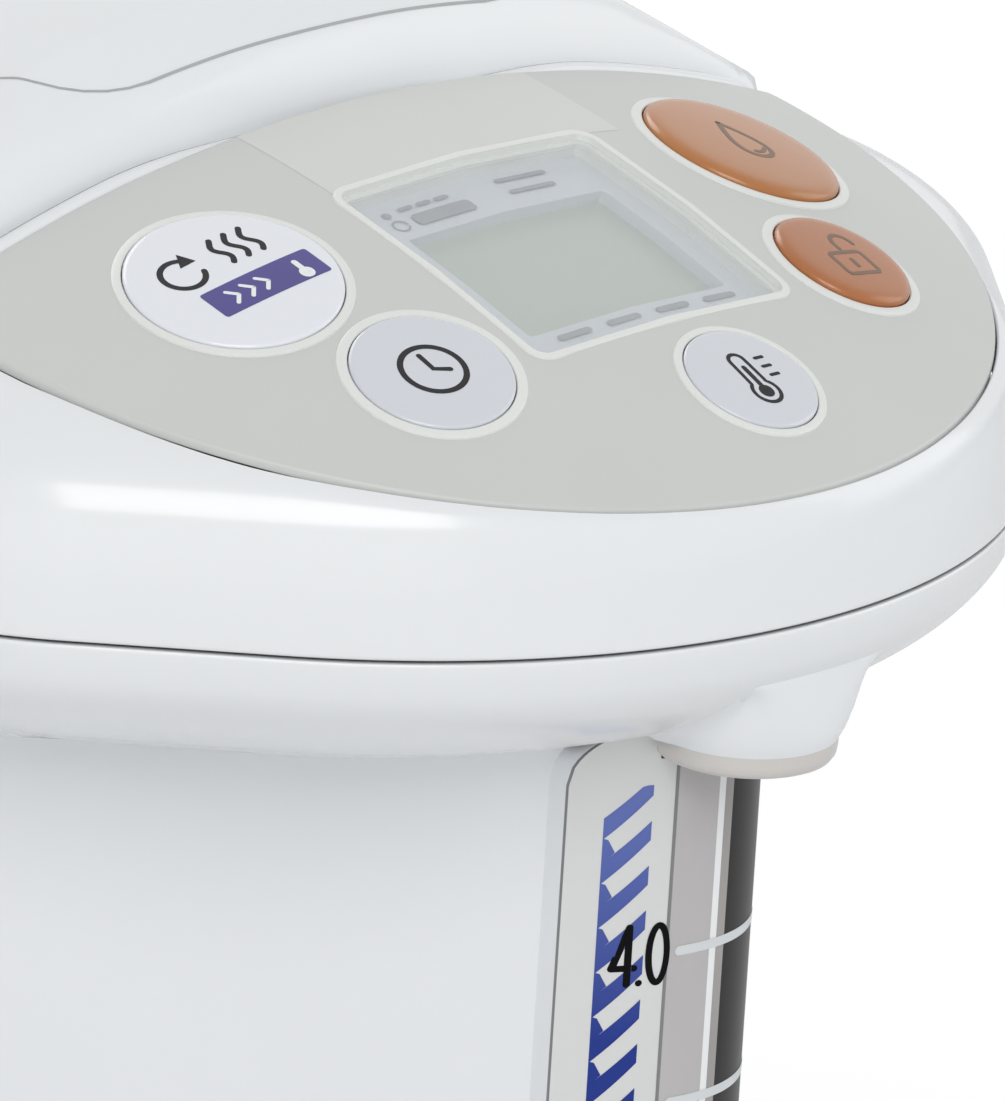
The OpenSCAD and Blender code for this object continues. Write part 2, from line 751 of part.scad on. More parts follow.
// Head steps [height above the seam, inset], from the seam up the side and over its edge.
head_steps = [[0, 0], [9, 0.5], [16, 2], [20, 4], [24, 8], [27, 13], [29.5, 20], [60, 60]];
module head_solid(shrink) {
    intersection() {
        hull() for (step = head_steps)
            extruded(head_discs, step[1] + shrink, seam_z + step[0], eps);
        translate(dome_centre) sphere(r = dome_r - shrink, $fn = 160);
    }
}
module lid_area(gap, z, h) {
    intersection() {
        extruded(head_discs, lid_ledge - gap, z, h);
        translate([-head_w / 2, -lid_front - gap, z - 1])
            cube([head_w, lid_front + gap + head_w, h + 2]);
    }
}
module hinge_recess() {
    translate([-knuckle_half_w - 0.5, hinge_y - knuckle_r - 6, hinge_z - knuckle_r - 3])
        cube([2 * knuckle_half_w + 1, 2 * lid_ledge, lid_h]);
}
module hinge_lugs() {
    for (side = [-1, 1]) translate([side * (knuckle_half_w + 0.5 + lug_w / 2), hinge_y, 0]) {
        translate([0, 0, hinge_z]) rotate([0, 90, 0])
            cylinder(h = lug_w, r = knuckle_r, center = true);
        translate([-lug_w / 2, -knuckle_r, hinge_z - 12]) cube([lug_w, 2 * knuckle_r, 12]);
    }
}
module panel_area(inset, z, h) {
    intersection() {
        translate([0, -panel_y, z]) cylinder(h = h, r = panel_r - inset, $fn = 160);
        translate([-panel_r - 1, -panel_y - panel_r - 1, z - 1])
            cube([2 * panel_r + 2, panel_y + panel_r + 1 - panel_back - inset, h + 2]);
    }
}
module panel_skin(out, thick, inset) {
    intersection() {
        difference() {
            translate(dome_centre) sphere(r = dome_r + out, $fn = 160);
            translate(dome_centre) sphere(r = dome_r + out - thick, $fn = 160);
        }
        panel_area(inset, seam_z, dome_h + 5);
    }
}
module button_places(extra) {
    for (side = [-1, 1]) {
        on_dome(side * large_x, -large_y, -30) cylinder(h = 40, r = large_r + extra);
        on_dome(side * small_x, -small_y, -30) cylinder(h = 40, r = small_r + extra);
    }
    on_dome(front_x, -front_y, -30) cylinder(h = 40, r = front_r + extra);
}
module window_cut(extra, depth) {
    on_dome(0, -window_y, -depth) translate([-window_l / 2 - extra, -window_w / 2 - extra, 0])
        cube([window_l + 2 * extra, window_w + 2 * extra, depth + 10]);
}
module head_cover() {
    color(white) difference() {
        union() {
            difference() {
                head_solid(0);
                difference() {
                    translate([0, 0, -eps]) head_solid(cover_t);
                    lid_area(lid_gap + cover_t, well_z - well_floor_t, lid_h);
                }
            }
            translate([0, vessel_y, 0])
                ring(well_hole_r + collar_t, well_hole_r, mouth_z, well_z - mouth_z);
            hinge_lugs();
            intersection() {
                head_solid(1);
                at_head_screws() translate([0, 0, seam_z]) cylinder(h = lid_h, r = post_r);
            }
            at_head_screws() translate([0, 0, seam_z - seam_gap]) cylinder(h = 1, r = post_r);
        }
        lid_area(lid_gap, well_z, lid_h);
        translate([0, vessel_y, mouth_z - 1])
            cylinder(h = well_z - mouth_z + 1 + eps, r = well_hole_r);
        hinge_recess();
        translate([-head_w / 2, hinge_y, hinge_z]) rotate([0, 90, 0]) cylinder(h = head_w, r = pin_r);
        panel_skin(0.1, panel_t + 0.1, -0.1);
        button_places(button_gap);
        window_cut(0.2, 14);
        translate([-claw_w / 2 - 1, -lid_front - claw_reach - 1.5, claw_z - 1])
            cube([claw_w + 2, 10, claw_room]);
        for (side = [-1, 1]) translate([side * (head_w / 2 - 14), pivot_y, pivot_z])
            rotate([0, 90 * side, 0]) cylinder(h = 20, r = pivot_r);
        at_head_screws() translate([0, 0, seam_z - 1]) cylinder(h = post_h / 2, r = screw_r);
    }
}
module control_panel() {
    color(panel_grey) difference() {
        panel_skin(0, panel_t, 0);
        button_places(button_gap);
        window_cut(0, 14);
    }
}
// Places children on the board's plane: local X to the front, local Y to the right.
module on_board(up = 0) {
    on_dome(0, -window_y, up - board_depth) children();
}
module flat(front, back, w, h) {
    translate([-back, -w / 2, 0]) cube([front + back, w, h]);
}
display_depth = 5;
display_rim = 2;
module display_frame() {
    half = window_l / 2 - 0.2;
    front = display_l / 2 + display_shift;
    back = display_l / 2 - display_shift;
    color([0.85, 0.86, 0.85]) intersection() {
        translate(dome_centre) sphere(r = dome_r - panel_t, $fn = 160);
        on_board() difference() {
            flat(half, half, window_w - 0.4, board_depth);
            translate([0, 0, -1]) flat(front, back, display_w, board_depth + 2);
            translate([0, 0, -1])
                flat(front + display_rim, back + display_rim, display_w + 2 * display_rim,
                    board_depth - display_depth + 1);
        }
    }
}
module display_glass() {
    front = display_l / 2 + display_shift + display_rim - 0.1;
    back = display_l / 2 - display_shift + display_rim - 0.1;
    color([0.74, 0.77, 0.73]) on_board(board_depth - display_depth - 2)
        flat(front, back, display_w + 2 * display_rim - 0.2, 2);
}
module display_window() {
    color([0.9, 0.92, 0.92, 0.4]) intersection() {
        panel_skin(0, panel_t, 0);
        window_cut(-0.2, 14);
    }
}
module control_board() {
    color(board_green) intersection() {
        on_board(-board_t) flat(board_ahead, board_back, board_w, board_t);
        panel_area(3, seam_z, dome_h);
    }
}
// Distance along a button's axis from the dome down to the top of its switch.
function switch_depth(x, y) =
    let (p = dome_at(x, y), way = (p - dome_centre) / dome_r)
    ((p - board_point) * board_way - switch_h) / (way * board_way);
button_plan = [
    [-large_x, -large_y], [-small_x, -small_y], [front_x, -front_y], [large_x, -large_y],
    [small_x, -small_y]
];
module tact_switches() {
    color("black") for (place = button_plan) {
        p = dome_at(place[0], place[1]);
        foot = p - switch_depth(place[0], place[1]) * (p - dome_centre) / dome_r
            - switch_h * board_way;
        translate(foot) rotate(dome_turn(0, -window_y)) {
            translate([-3, -3, 0]) cube([6, 6, switch_h - 1]);
            cylinder(h = switch_h, r = 1.7);
        }
    }
}
module button(r, x, y) {
    skirt = 3;
    bevel = 0.4;
    stem = switch_depth(x, y) - button_travel - switch_gap;
    on_dome(x, y) {
        translate([0, 0, -skirt]) cylinder(h = skirt + button_up - bevel, r = r);
        translate([0, 0, button_up - bevel - eps]) cylinder(h = bevel, r1 = r, r2 = r - bevel);
        translate([0, 0, -stem]) cylinder(h = stem - 1, r = stem_r);
    }
}
module reboil_button() { color(white) button(large_r, -large_x, -large_y); }
module timer_button() { color(white) button(small_r, -small_x, -small_y); }
module temp_button() { color(white) button(front_r, front_x, -front_y); }
module dispense_button() { color(orange) button(large_r, large_x, -large_y); }
module unlock_button() { color(orange) button(small_r, small_x, -small_y); }

// ---- lid ----
// Lid steps [share of the lid's height, side inset, front inset], from the well over the top.
lid_steps = [
    [(lid_z - seam_z) / lid_h, 0, 0], [0.54, 0.6, 0], [0.72, 4, 0], [0.80, 8, 2.5], [0.86, 12, 5], [0.93, 24, 13],
    [0.98, 42, 28], [1, 58, 46]
];
module lid_solid(shrink) {
    hull() for (step = lid_steps) intersection() {
        z = seam_z + step[0] * lid_h;
        extruded(head_discs, lid_ledge + step[1] + shrink, z, eps);
        translate([-head_w / 2, step[2] - lid_front + shrink, z - 1]) cube([head_w, 2 * head_w, 3]);
    }
}
module lid_hollow() {
    translate([0, 0, -cover_t]) lid_solid(cover_t);
}
module lever_pocket(grow, depth) {
    translate([-lever_w / 2 - grow, lever_y - lever_l - finger_l - grow, seam_z + lid_h - depth])
        cube([lever_w + 2 * grow, lever_l + finger_l + 2 * grow, depth + 5]);
}
module lid_cover() {
    color(white) {
        difference() {
            lid_solid(0);
            difference() {
                lid_hollow();
                lever_pocket(cover_t, 16);
            }
            lever_pocket(0.6, 12);
            translate([-lever_w / 2 - 3, lever_pin_y, lever_pin_z]) rotate([0, 90, 0])
                cylinder(h = lever_w + 6, r = pin_r);
            translate([-claw_w / 2 - 0.4, -lid_front - 2, claw_z - 0.4])
                cube([claw_w + 0.8, 10, claw_h + 0.8]);
            translate([vent_x, vent_y, seam_z]) cylinder(h = lid_h + 10, r = vent_r);
            translate([-release_w / 2 - 0.4, hinge_y - 20, release_z - 0.4])
                cube([release_w + 0.8, 20, release_h + 0.8]);
        }
        difference() {
            union() {
                translate([-knuckle_half_w, hinge_y, hinge_z]) rotate([0, 90, 0])
                    cylinder(h = 2 * knuckle_half_w, r = knuckle_r);
                translate([-knuckle_half_w, hinge_y - 12, hinge_z + 1])
                    cube([2 * knuckle_half_w, 12, knuckle_r - 1]);
            }
            translate([-knuckle_half_w - 1, hinge_y, hinge_z]) rotate([0, 90, 0])
                cylinder(h = 2 * knuckle_half_w + 2, r = pin_r + fit);
        }
    }
}
module lid_base() {
    color("whitesmoke") {
        difference() {
            intersection() {
                lid_hollow();
                translate([-head_w, -head_w, lid_z]) cube([2 * head_w, 2 * head_w, base_t]);
            }
            translate([vent_x, vent_y, lid_z - 1]) cylinder(h = 5, r = baffle_r);
        }
        translate([-claw_w / 2, -spring_seat_y, lid_z + base_t - eps])
            cube([claw_w, base_t, claw_z + claw_h - lid_z - base_t]);
    }
}
module inner_lid() {
    plate_low = mouth_z + seat_gap + gasket_h;
    color(steel) translate([0, vessel_y, 0]) difference() {
        union() {
            translate([0, 0, plate_low]) cylinder(h = lid_z - plate_low, r = inner_lid_r - 6);
            translate([0, 0, plate_low]) cylinder(h = 3, r = inner_lid_r);
        }
        translate([0, 0, plate_low + inner_lid_t]) cylinder(h = lid_h, r = inner_lid_r - 8);
        translate([vent_x, vent_y - vessel_y, plate_low - 1]) cylinder(h = 5, r = 3);
    }
}
module lid_gasket() {
    color("lightslategray") translate([0, vessel_y, 0])
        ring(mouth_r + 4.5, mouth_r - 3, mouth_z + seat_gap, gasket_h);
}
module lid_lever() {
    color(white) difference() {
        union() {
            translate([-lever_w / 2, lever_y - lever_l, lever_z]) cube([lever_w, lever_l, lever_t]);
            translate([-lever_w / 2, lever_pin_y, lever_pin_z]) rotate([0, 90, 0])
                cylinder(h = lever_w, r = lever_hub_r);
        }
        translate([-lever_w / 2 - 1, lever_pin_y, lever_pin_z]) rotate([0, 90, 0])
            cylinder(h = lever_w + 2, r = pin_r + fit);
    }
}
module lever_pin() {
    color(steel) translate([-lever_w / 2 - 3, lever_pin_y, lever_pin_z]) rotate([0, 90, 0])
        cylinder(h = lever_w + 6, r = pin_r);
}
// The springs are drawn at their pressed length, from their seat into the claw.
module at_latch_springs() {
    for (side = [-1, 1]) translate([side * spring_x, -spring_seat_y, claw_z + claw_h / 2])
        rotate([90, 0, 0]) children();
}
module latch_claw() {
    color("whitesmoke") difference() {
        translate([-claw_w / 2, -lid_front - claw_reach, claw_z]) cube([claw_w, claw_l, claw_h]);
        at_latch_springs() cylinder(h = spring_l + claw_travel + 1, r = spring_r + 0.4);
    }
}
module latch_springs() {
    color(steel) at_latch_springs() ring(spring_r, spring_r - 0.6, 0, spring_l);
}
module vent_cap() {
    slot_l = 18;
    slot_w = 2;
    slot_pitch = 4.4;
    color("lightgray") translate([vent_x, vent_y, vent_z]) difference() {
        cylinder(h = vent_h, r = vent_r);
        for (k = [-2 : 2]) translate([-slot_l / 2, k * slot_pitch - slot_w / 2, 2])
            cube([slot_l, slot_w, vent_h]);
        translate([0, 0, -1]) cylinder(h = vent_h / 2, r = vent_r - 3);
    }
}
module steam_baffle() {
    low = mouth_z + seat_gap + gasket_h + inner_lid_t;
    color("whitesmoke") translate([vent_x, vent_y, 0]) ring(baffle_r, baffle_r - 1.5, low, vent_z - low);
}
module hinge_pin() {
    half = knuckle_half_w + 0.5 + lug_w;
    color(steel) translate([-half, hinge_y, hinge_z]) rotate([0, 90, 0])
        cylinder(h = 2 * half, r = pin_r);
}
module lid_release() {
    color("lightgray") translate([-release_w / 2, hinge_y - 14, release_z])
        cube([release_w, 8, release_h]);
}

// ---- handle ----
module carry_handle() {
    half = handle_h / 2;
    bar_t = 12;
    arm_l = sqrt(pow(handle_back, 2) - pow(arm_x + handle_t, 2)) - pivot_y;
    arc_from = sqrt(pow(handle_back - bar_t, 2) - pow(arm_x, 2)) - 5;
    color(white) difference() {
        union() {
            intersection() {
                difference() {
                    extruded([[0, 0, handle_back]], 0, pivot_z - half, handle_h);
                    extruded([[0, 0, handle_back]], bar_t, pivot_z - half - 1, handle_h + 2);
                }
                translate([-handle_w / 2, arc_from, pivot_z - half - 1])
                    cube([handle_w, handle_back, handle_h + 2]);
            }
            for (side = [-1, 1]) {
                translate([side * (arm_x + handle_t / 2) - handle_t / 2, pivot_y, pivot_z - half])
                    cube([handle_t, arm_l, handle_h]);
                translate([side * (arm_x + handle_t / 2), pivot_y, pivot_z]) rotate([0, 90, 0])
                    cylinder(h = handle_t, r = half, center = true);
            }
        }
        for (side = [-1, 1]) translate([side * arm_x, pivot_y, pivot_z]) rotate([0, 90, 0])
            cylinder(h = 20, r = pivot_r + fit, center = true);
    }
}
module handle_pivots() {
    color("lightgray") for (side = [-1, 1])
        translate([side * (head_w / 2 - 8), pivot_y, pivot_z]) rotate([0, 90 * side, 0])
            cylinder(h = handle_w / 2 - head_w / 2 + 8 - 0.3, r = pivot_r);
}
module head_screws() {
    color(steel) at_head_screws() translate([0, 0, seam_z - post_h - 2]) screw(post_h + 6);
}

foot_pads();
turntable();
swivel_retainer();
bottom_cover();
glide_pads();
base_frame();
bottom_screws();
inlet_housing();
inlet_pins();
inlet_magnet();
body_sleeve();
gauge_backing();
gauge_plate();
gauge_window();
gauge_tube();
gauge_seals();
lower_joint();
upper_joint();
tip_ball();
spout_pipe();
inner_vessel();
heater_band();
thermistor();
thermal_fuse();
vessel_outlet();
pump_housing();
pump_cover();
impeller();
pump_motor();
motor_rotor();
power_board();
rim();
spout_ring();
head_cover();
control_panel();
display_frame();
display_glass();
display_window();
control_board();
tact_switches();
reboil_button();
timer_button();
temp_button();
dispense_button();
unlock_button();
lid_cover();
lid_base();
inner_lid();
lid_gasket();
lid_lever();
lever_pin();
latch_claw();
latch_springs();
vent_cap();
steam_baffle();
hinge_pin();
lid_release();
carry_handle();
handle_pivots();
head_screws();
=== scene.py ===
"""Electric thermo pot: the visible surfaces and finishes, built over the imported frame."""

import math

import bmesh
import bpy
import numpy as np
from mathutils import Matrix


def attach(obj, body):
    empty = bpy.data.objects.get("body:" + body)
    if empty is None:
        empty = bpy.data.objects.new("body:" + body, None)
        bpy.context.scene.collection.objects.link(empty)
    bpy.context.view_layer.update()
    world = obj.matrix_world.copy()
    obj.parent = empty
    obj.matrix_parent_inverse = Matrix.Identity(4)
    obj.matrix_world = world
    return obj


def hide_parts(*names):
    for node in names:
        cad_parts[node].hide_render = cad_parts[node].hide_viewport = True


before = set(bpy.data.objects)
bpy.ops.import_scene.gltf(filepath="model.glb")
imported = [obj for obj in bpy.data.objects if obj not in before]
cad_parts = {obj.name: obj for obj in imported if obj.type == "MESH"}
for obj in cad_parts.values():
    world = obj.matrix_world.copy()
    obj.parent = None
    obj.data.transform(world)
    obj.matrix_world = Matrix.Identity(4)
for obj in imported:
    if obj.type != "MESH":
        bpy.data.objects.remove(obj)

bl_info = {
    "name": "Thermo pot",
    "version": (1, 0, 0),
    "blender": (4, 5, 0),
    "location": "3D View > Sidebar > Thermo pot",
    "description": "Builds the surfaces of a household thermo pot over its packed frame",
    "category": "Add Mesh",
}

# All lengths below are in millimetres, x to the right, y to the back and z up.
MM = 0.001
SEAM_Z = 275.0

# Plan outlines, each the hull of circles (x, y, radius), and where the columns of most skins start.
HEAD = np.array([[0, -58.4, 94.7], [44.5, -60.5, 60], [-44.5, -60.5, 60], [0, 0, 104.5]], float)
BODY = np.array([[0, 0, 100], [0, -99.4, 30.4]], float)
POCKET = np.array([[18.6, 8.6, 4], [-18.6, 8.6, 4], [18.6, -28.6, 4], [-18.6, -28.6, 4]], float)
MIDDLE = np.array([0.0, -20.0])

# Lid: inset from the head's outline, front line, gap to its seat; the seat's floor and round hole.
LEDGE = 20.0
LID_FRONT = -58.5
LID_GAP = 0.6
WELL_Z = 287.0
WELL_CENTRE = np.array([0.0, 8.0])
WELL_R = 69.5

# The panel's seat: a circle cut off by a straight back.
PANEL_Y = -67.7
PANEL_R = 82.25
PANEL_BACK = -61.7

# The head's dome is a part of a ball, joined softly to the head's side.
DOME_CENTRE = np.array([0.0, -26.7, 77.7])
DOME_R = 247.0
DOME_JOIN = 1.6

# Hinge pin (y, z), its eye, half the notch's width and the notch's floor above the seam.
HINGE = (92.5, 300.0)
EYE_R = 4.95
NOTCH = 30.5
NOTCH_UP = 17.0

# Head side [height above the seam, inset]; rim underside [drop below the seam, inset].
HEAD_SIDE = [[0.0, 0.35], [0.25, 0.05], [0.7, 0], [9, 0.5], [16, 2], [20, 4], [24, 8], [27, 13],
             [29.5, 20], [44.75, 40]]
RIM_SIDE = [[0.4, 4], [0.4, 0.35], [0.65, 0.05], [1.2, 0], [3.5, 0.35], [7, 1.35], [11, 4.5],
            [14.5, 9], [17.8, 14.6], [20, 20], [22.5, 27], [25, 33], [27.5, 40]]
# Lid [height above the seam, side inset, front inset].
LID_SIDE = [[14, 0.4, 0.4], [14.5, 0, 0], [35.1, 0.6, 0], [46.4, 4, 0], [47.2, 4.3, 0.3],
            [52, 8, 2.5], [55.9, 12, 5], [60.5, 24, 13], [63.7, 42, 28], [65, 58, 46]]
# Bottom cover: height and radius of its lower edge. Body sleeve: [height, inset], and the inlet.
BOTTOM_Z = 10.0
BOTTOM_EDGE = 5.0
SWIVEL_HOLE_R = 23.3
SLEEVE = [(26.0, 1.2), (26.0, 0.4), (26.15, 0.12), (26.45, 0), (27.8, 0), (37, 0), (48.2, 0),
          (90, 0), (140, 0), (190, 0), (230, 0), (250, 0), (257, 0), (266, 0)]
INLET_HALF = 23.2
INLET_LOW = 27.8
INLET_HIGH = 48.2

# Level gauge in plan: a circle left of its middle line, a tighter one right of it, one front.
GAUGE_Y = -107.7
GAUGE_R = 27.0
GAUGE_TIGHT = 18.5
GAUGE_LEFT = 20.3
GAUGE_RIGHT = 17.0
OPENING = (-17.5, 16.1)
OPENING_LOW = 37.0
OPENING_HIGH = 250.0
# Gauge plate: its ends, corner radius, and the end and half width of the dip under the spout ring.
PLATE_LOW = 33.5
PLATE_HIGH = 255.6
PLATE_CORNER = 8.0
DIP_HIGH = 251.4
DIP_HALF = 10.5
# Right end of the dark reflection painted on the window; stripes (left edge, width, rise, height,
# upper end); highest tick.
DARK_REFLECTION_RIGHT = 11.3
STRIPE_X, STRIPE_W, STRIPE_RISE, STRIPE_H, STRIPE_TOP = -16.8, 5.6, 6.0, 3.0, 247.8
TICK_TOP = 224.0
SPOUT_Y = -137.5

# Steam vent's middle, lever pocket's floor and the object's highest point.
VENT = (-30.0, 34.0)
POCKET_Z = 328.0
TOP_Z = 339.95

# Carry handle: pivot (y, z), arm's distance from the middle, bow radius, half height, widest x.
PIVOT = (4.0, 284.0)
ARM_X = 107.5
BOW_R = 130.0
BAR_HALF = 6.95
WIDEST = 109.4

# Buttons: place in plan, cap radius, ring radius; then finish, height (0: a setting) and edge.
BUTTONS = {
    "reboil": (-48.5, -86.8, 14.6, 16.1),
    "timer": (-39.2, -114.3, 11.1, 12.77),
    "temp": (2.4, -132.3, 9.5, 10.9),
    "dispense": (48.5, -86.8, 14.2, 15.9),
    "unlock": (39.2, -114.3, 10.0, 11.7),
}
LARGE_RISE = 0.8
SMALL_RISE = 0.7
CAPS = {
    "reboil": ("white_cap", LARGE_RISE, 0.4),
    "timer": ("grey_cap", SMALL_RISE, 0.35),
    "temp": ("grey_cap", SMALL_RISE, 0.35),
    "dispense": ("orange_cap", 0, 0.9),
    "unlock": ("orange_small", 0, 0.8),
}
WINDOW_Y = -100.24
WINDOW_W = 47.7
WINDOW_L = 40.5
WINDOW_CORNER = 2.2


def linear(red, green, blue):
    """Linear colour of an 8-bit display colour."""
    share = np.array([red, green, blue], float) / 255
    return tuple(np.where(share <= 0.04045, share / 12.92, ((share + 0.055) / 1.055) ** 2.4))


# ---- plan outlines and profiles ----
def full_turn(steps, start=0.0):
    """Evenly spaced turns of a whole circle."""
    return np.linspace(start, start + 2 * math.pi, steps, endpoint=False)


def circle(turn):
    """Directions in plan: cosine and sine of every turn."""
    return np.stack([np.cos(turn), np.sin(turn)], -1)


WAYS = circle(full_turn(1440)).T


def reach(discs):
    """Reach of a hull of circles in every outward way: the most of centre along it plus radius."""
    return (discs[:, :2] @ WAYS + discs[:, 2:]).max(0)


def ray(discs, inset, start, way):
    """Length from a start in a hull, drawn in by inset, to its edge: least of room over speed."""
    room = reach(discs) - inset - start @ WAYS
    speed = way @ WAYS
    return np.where(speed > 1e-6, room / np.maximum(speed, 1e-6), np.inf).min(-1)


def inset_of(discs, x, y):
    """Distance of points from the hull's edge: the least room left over all outward ways."""
    points = np.stack([np.ravel(x), np.ravel(y)], -1)
    parts = [(reach(discs) - part @ WAYS).min(-1) for part in np.array_split(points, 40)]
    return np.concatenate(parts).reshape(np.shape(x))


def smooth(points, rounds=2):
    """A line of points with its corners cut at a quarter and three quarters, ends kept."""
    points = np.asarray(points, float)
    for _ in range(rounds):
        near = 0.75 * points[:-1] + 0.25 * points[1:]
        far = 0.25 * points[:-1] + 0.75 * points[1:]
        inner = np.stack([near, far], 1).reshape(-1, points.shape[1])
        points = np.concatenate([points[:1], inner, points[-1:]])
    return points


def soft_min(a, b, k):
    """The lesser of two values, blended over a range k."""
    share = np.clip(0.5 + 0.5 * (b - a) / k, 0, 1)
    return b * (1 - share) + a * share - k * share * (1 - share)


def eased(share):
    """A share of 0 to 1 that starts and ends level: three squares less two cubes."""
    return share * share * (3 - 2 * share)


def cut_at(lengths, heights, stop):
    """Rows that run inwards end at each column's stop length, with the height they have there."""
    passed = lengths < stop
    after = np.where(passed.any(0), passed.argmax(0), len(lengths) - 1)
    before = np.maximum(after - 1, 0)
    column = np.arange(lengths.shape[1])
    long, short = lengths[before, column], lengths[after, column]
    share = np.clip((long - stop) / np.maximum(long - short, 1e-6), 0, 1)
    height = heights[before, column] * (1 - share) + heights[after, column] * share
    return np.maximum(lengths, stop), np.where(passed, height, heights)


def to_front(way, start, front):
    """Length along each way from a start to a line across the front: distance over the way's y."""
    forward = np.minimum(way[:, 1], -1e-6)
    return np.where(way[:, 1] < -1e-6, (front - start[1]) / forward, 1e9)


def columns(start, way, lengths, heights):
    """Grid of points: columns run from a start along their ways, rows have lengths and heights."""
    x, y = (np.asarray(start)[..., k] + way[:, k] * lengths for k in (0, 1))
    return np.stack([x, y, np.broadcast_to(heights, lengths.shape)], -1)


def exact_turns(steps, special):
    """Evenly spaced turns with some exact ones added."""
    special = (np.array(special) + math.pi) % (2 * math.pi) - math.pi
    return np.unique(np.round(np.concatenate([full_turn(steps, -math.pi), special]), 9))


def centres(points):
    """Middle of every face of a grid whose columns close: the mean of its four corners."""
    beside = np.roll(points, -1, 1)
    return (points[:-1] + points[1:] + beside[:-1] + beside[1:]) / 4


def dome_z(x, y):
    """Height of the dome over a place in plan, from the ball's equation."""
    return DOME_CENTRE[2] + np.sqrt(DOME_R**2 - x**2 - (y - DOME_CENTRE[1]) ** 2)


def on_dome(place, a, b, h):
    """Points a to the right of a place on the dome, b behind and h above, bent along the ball."""
    out = np.array([place[0], place[1], dome_z(place[0], place[1])]) - DOME_CENTRE
    out /= np.linalg.norm(out)
    right = np.array([1.0, 0, 0]) - out * out[0]
    right /= np.linalg.norm(right)
    back = np.cross(out, right)
    a, b, h = np.broadcast_arrays(a, b, h)
    way = DOME_R * out + a[..., None] * right + b[..., None] * back
    way /= np.linalg.norm(way, axis=-1, keepdims=True)
    return DOME_CENTRE + (DOME_R + h[..., None]) * way


def under_dome(place, depth=30.0):
    """A point below a place on the dome, from which its pieces face away."""
    return on_dome(place, 0.0, 0.0, -depth)


def rounded(width, length, radius, steps=12):
    """Loop of a rounded rectangle, its corners as quarter circles, anticlockwise."""
    quarter = np.linspace(0, math.pi / 2, steps)
    loop = []
    for k, (sx, sy) in enumerate([(1, 1), (-1, 1), (-1, -1), (1, -1)]):
        turn = quarter + k * math.pi / 2
        loop.append(np.stack([sx * (width / 2 - radius) + radius * np.cos(turn),
                              sy * (length / 2 - radius) + radius * np.sin(turn)], -1))
    loop = np.concatenate(loop)
    middle = (loop + np.roll(loop, -1, 0)) / 2
    return np.stack([loop, middle], 1).reshape(-1, 2)


# ---- meshes ----
def patch(points, wrap_rows=False, wrap_columns=False, keep=None, away=None):
    """Quads between neighbours of a grid of points, turned so that they face away from a point."""
    points = np.asarray(points, float)
    rows, across = points.shape[:2]
    i = np.arange(rows if wrap_rows else rows - 1)[:, None]
    j = np.arange(across if wrap_columns else across - 1)[None]
    ahead, beside = (i + 1) % rows, (j + 1) % across
    corners = np.broadcast_arrays(i * across + j, i * across + beside, ahead * across + beside,
                                  ahead * across + j)
    faces = np.stack(corners, -1)
    faces = faces.reshape(-1, 4) if keep is None else faces[keep]
    flat = points.reshape(-1, 3)
    a, b, c, d = (flat[faces[:, k]] for k in range(4))
    origin = flat.mean(0) if away is None else np.asarray(away, float)
    if (np.cross(c - a, d - b) * ((a + b + c + d) / 4 - origin)).sum() < 0:
        faces = faces[:, ::-1]
    return flat, faces


def make(name, patches, kind, body="pot", node=None, sharp=38):
    """One piece out of patches: welded, smooth but for sharp angles, finished, riding on a body."""
    corners, faces, count = [], [], 0
    for flat, quads in patches:
        used, again = np.unique(quads, return_inverse=True)
        corners.append(flat[used])
        faces.append(again.reshape(quads.shape) + count)
        count += len(used)
    mesh = bpy.data.meshes.new(name)
    mesh.from_pydata(np.concatenate(corners) * MM, [], np.concatenate(faces).tolist())
    welder = bmesh.new()
    welder.from_mesh(mesh)
    bmesh.ops.remove_doubles(welder, verts=welder.verts, dist=0.004 * MM)
    welder.to_mesh(mesh)
    welder.free()
    mesh.polygons.foreach_set("use_smooth", np.ones(len(mesh.polygons), bool))
    mesh.set_sharp_from_angle(angle=math.radians(sharp))
    mesh.materials.append(finishes()[kind])
    piece = bpy.data.objects.new(name, mesh)
    bpy.context.scene.collection.objects.link(piece)
    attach(piece, body)
    if node:
        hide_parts(node)


def turned(profile, x=0.0, y=0.0, steps=128, closed=False, away=None):
    """A profile of (radius, height) turned about an upright axis."""
    profile = np.asarray(profile, float)
    lengths = np.broadcast_to(profile[:, :1], (len(profile), steps))
    points = columns((x, y), circle(full_turn(steps)), lengths, profile[:, 1:])
    return patch(points, wrap_rows=closed, wrap_columns=True, away=away)


def barrel(start, end, radius):
    """A round bar from start to end along x, with slightly rounded ends."""
    steps = 40
    way = circle(full_turn(steps))
    run = [(0, 0), (0, radius - 0.5), (0.15, radius - 0.15), (0.5, radius)]
    run = run + [(end[0] - start[0] - s, r) for s, r in reversed(run)]
    points = np.array([np.stack([np.full(steps, start[0] + s), start[1] + r * way[:, 0],
                                 start[2] + r * way[:, 1]], -1) for s, r in run])
    return patch(points, wrap_columns=True)


def neighbours(line, closed):
    """Unit ways along a line at every point, from the point before it to the one after it."""
    if closed:
        ahead, behind = np.roll(line, -1, 0), np.roll(line, 1, 0)
    else:
        ahead, behind = np.concatenate([line[1:], line[-1:]]), np.concatenate([line[:1], line[:-1]])
    return (ahead - behind) / np.linalg.norm(ahead - behind, axis=1, keepdims=True)


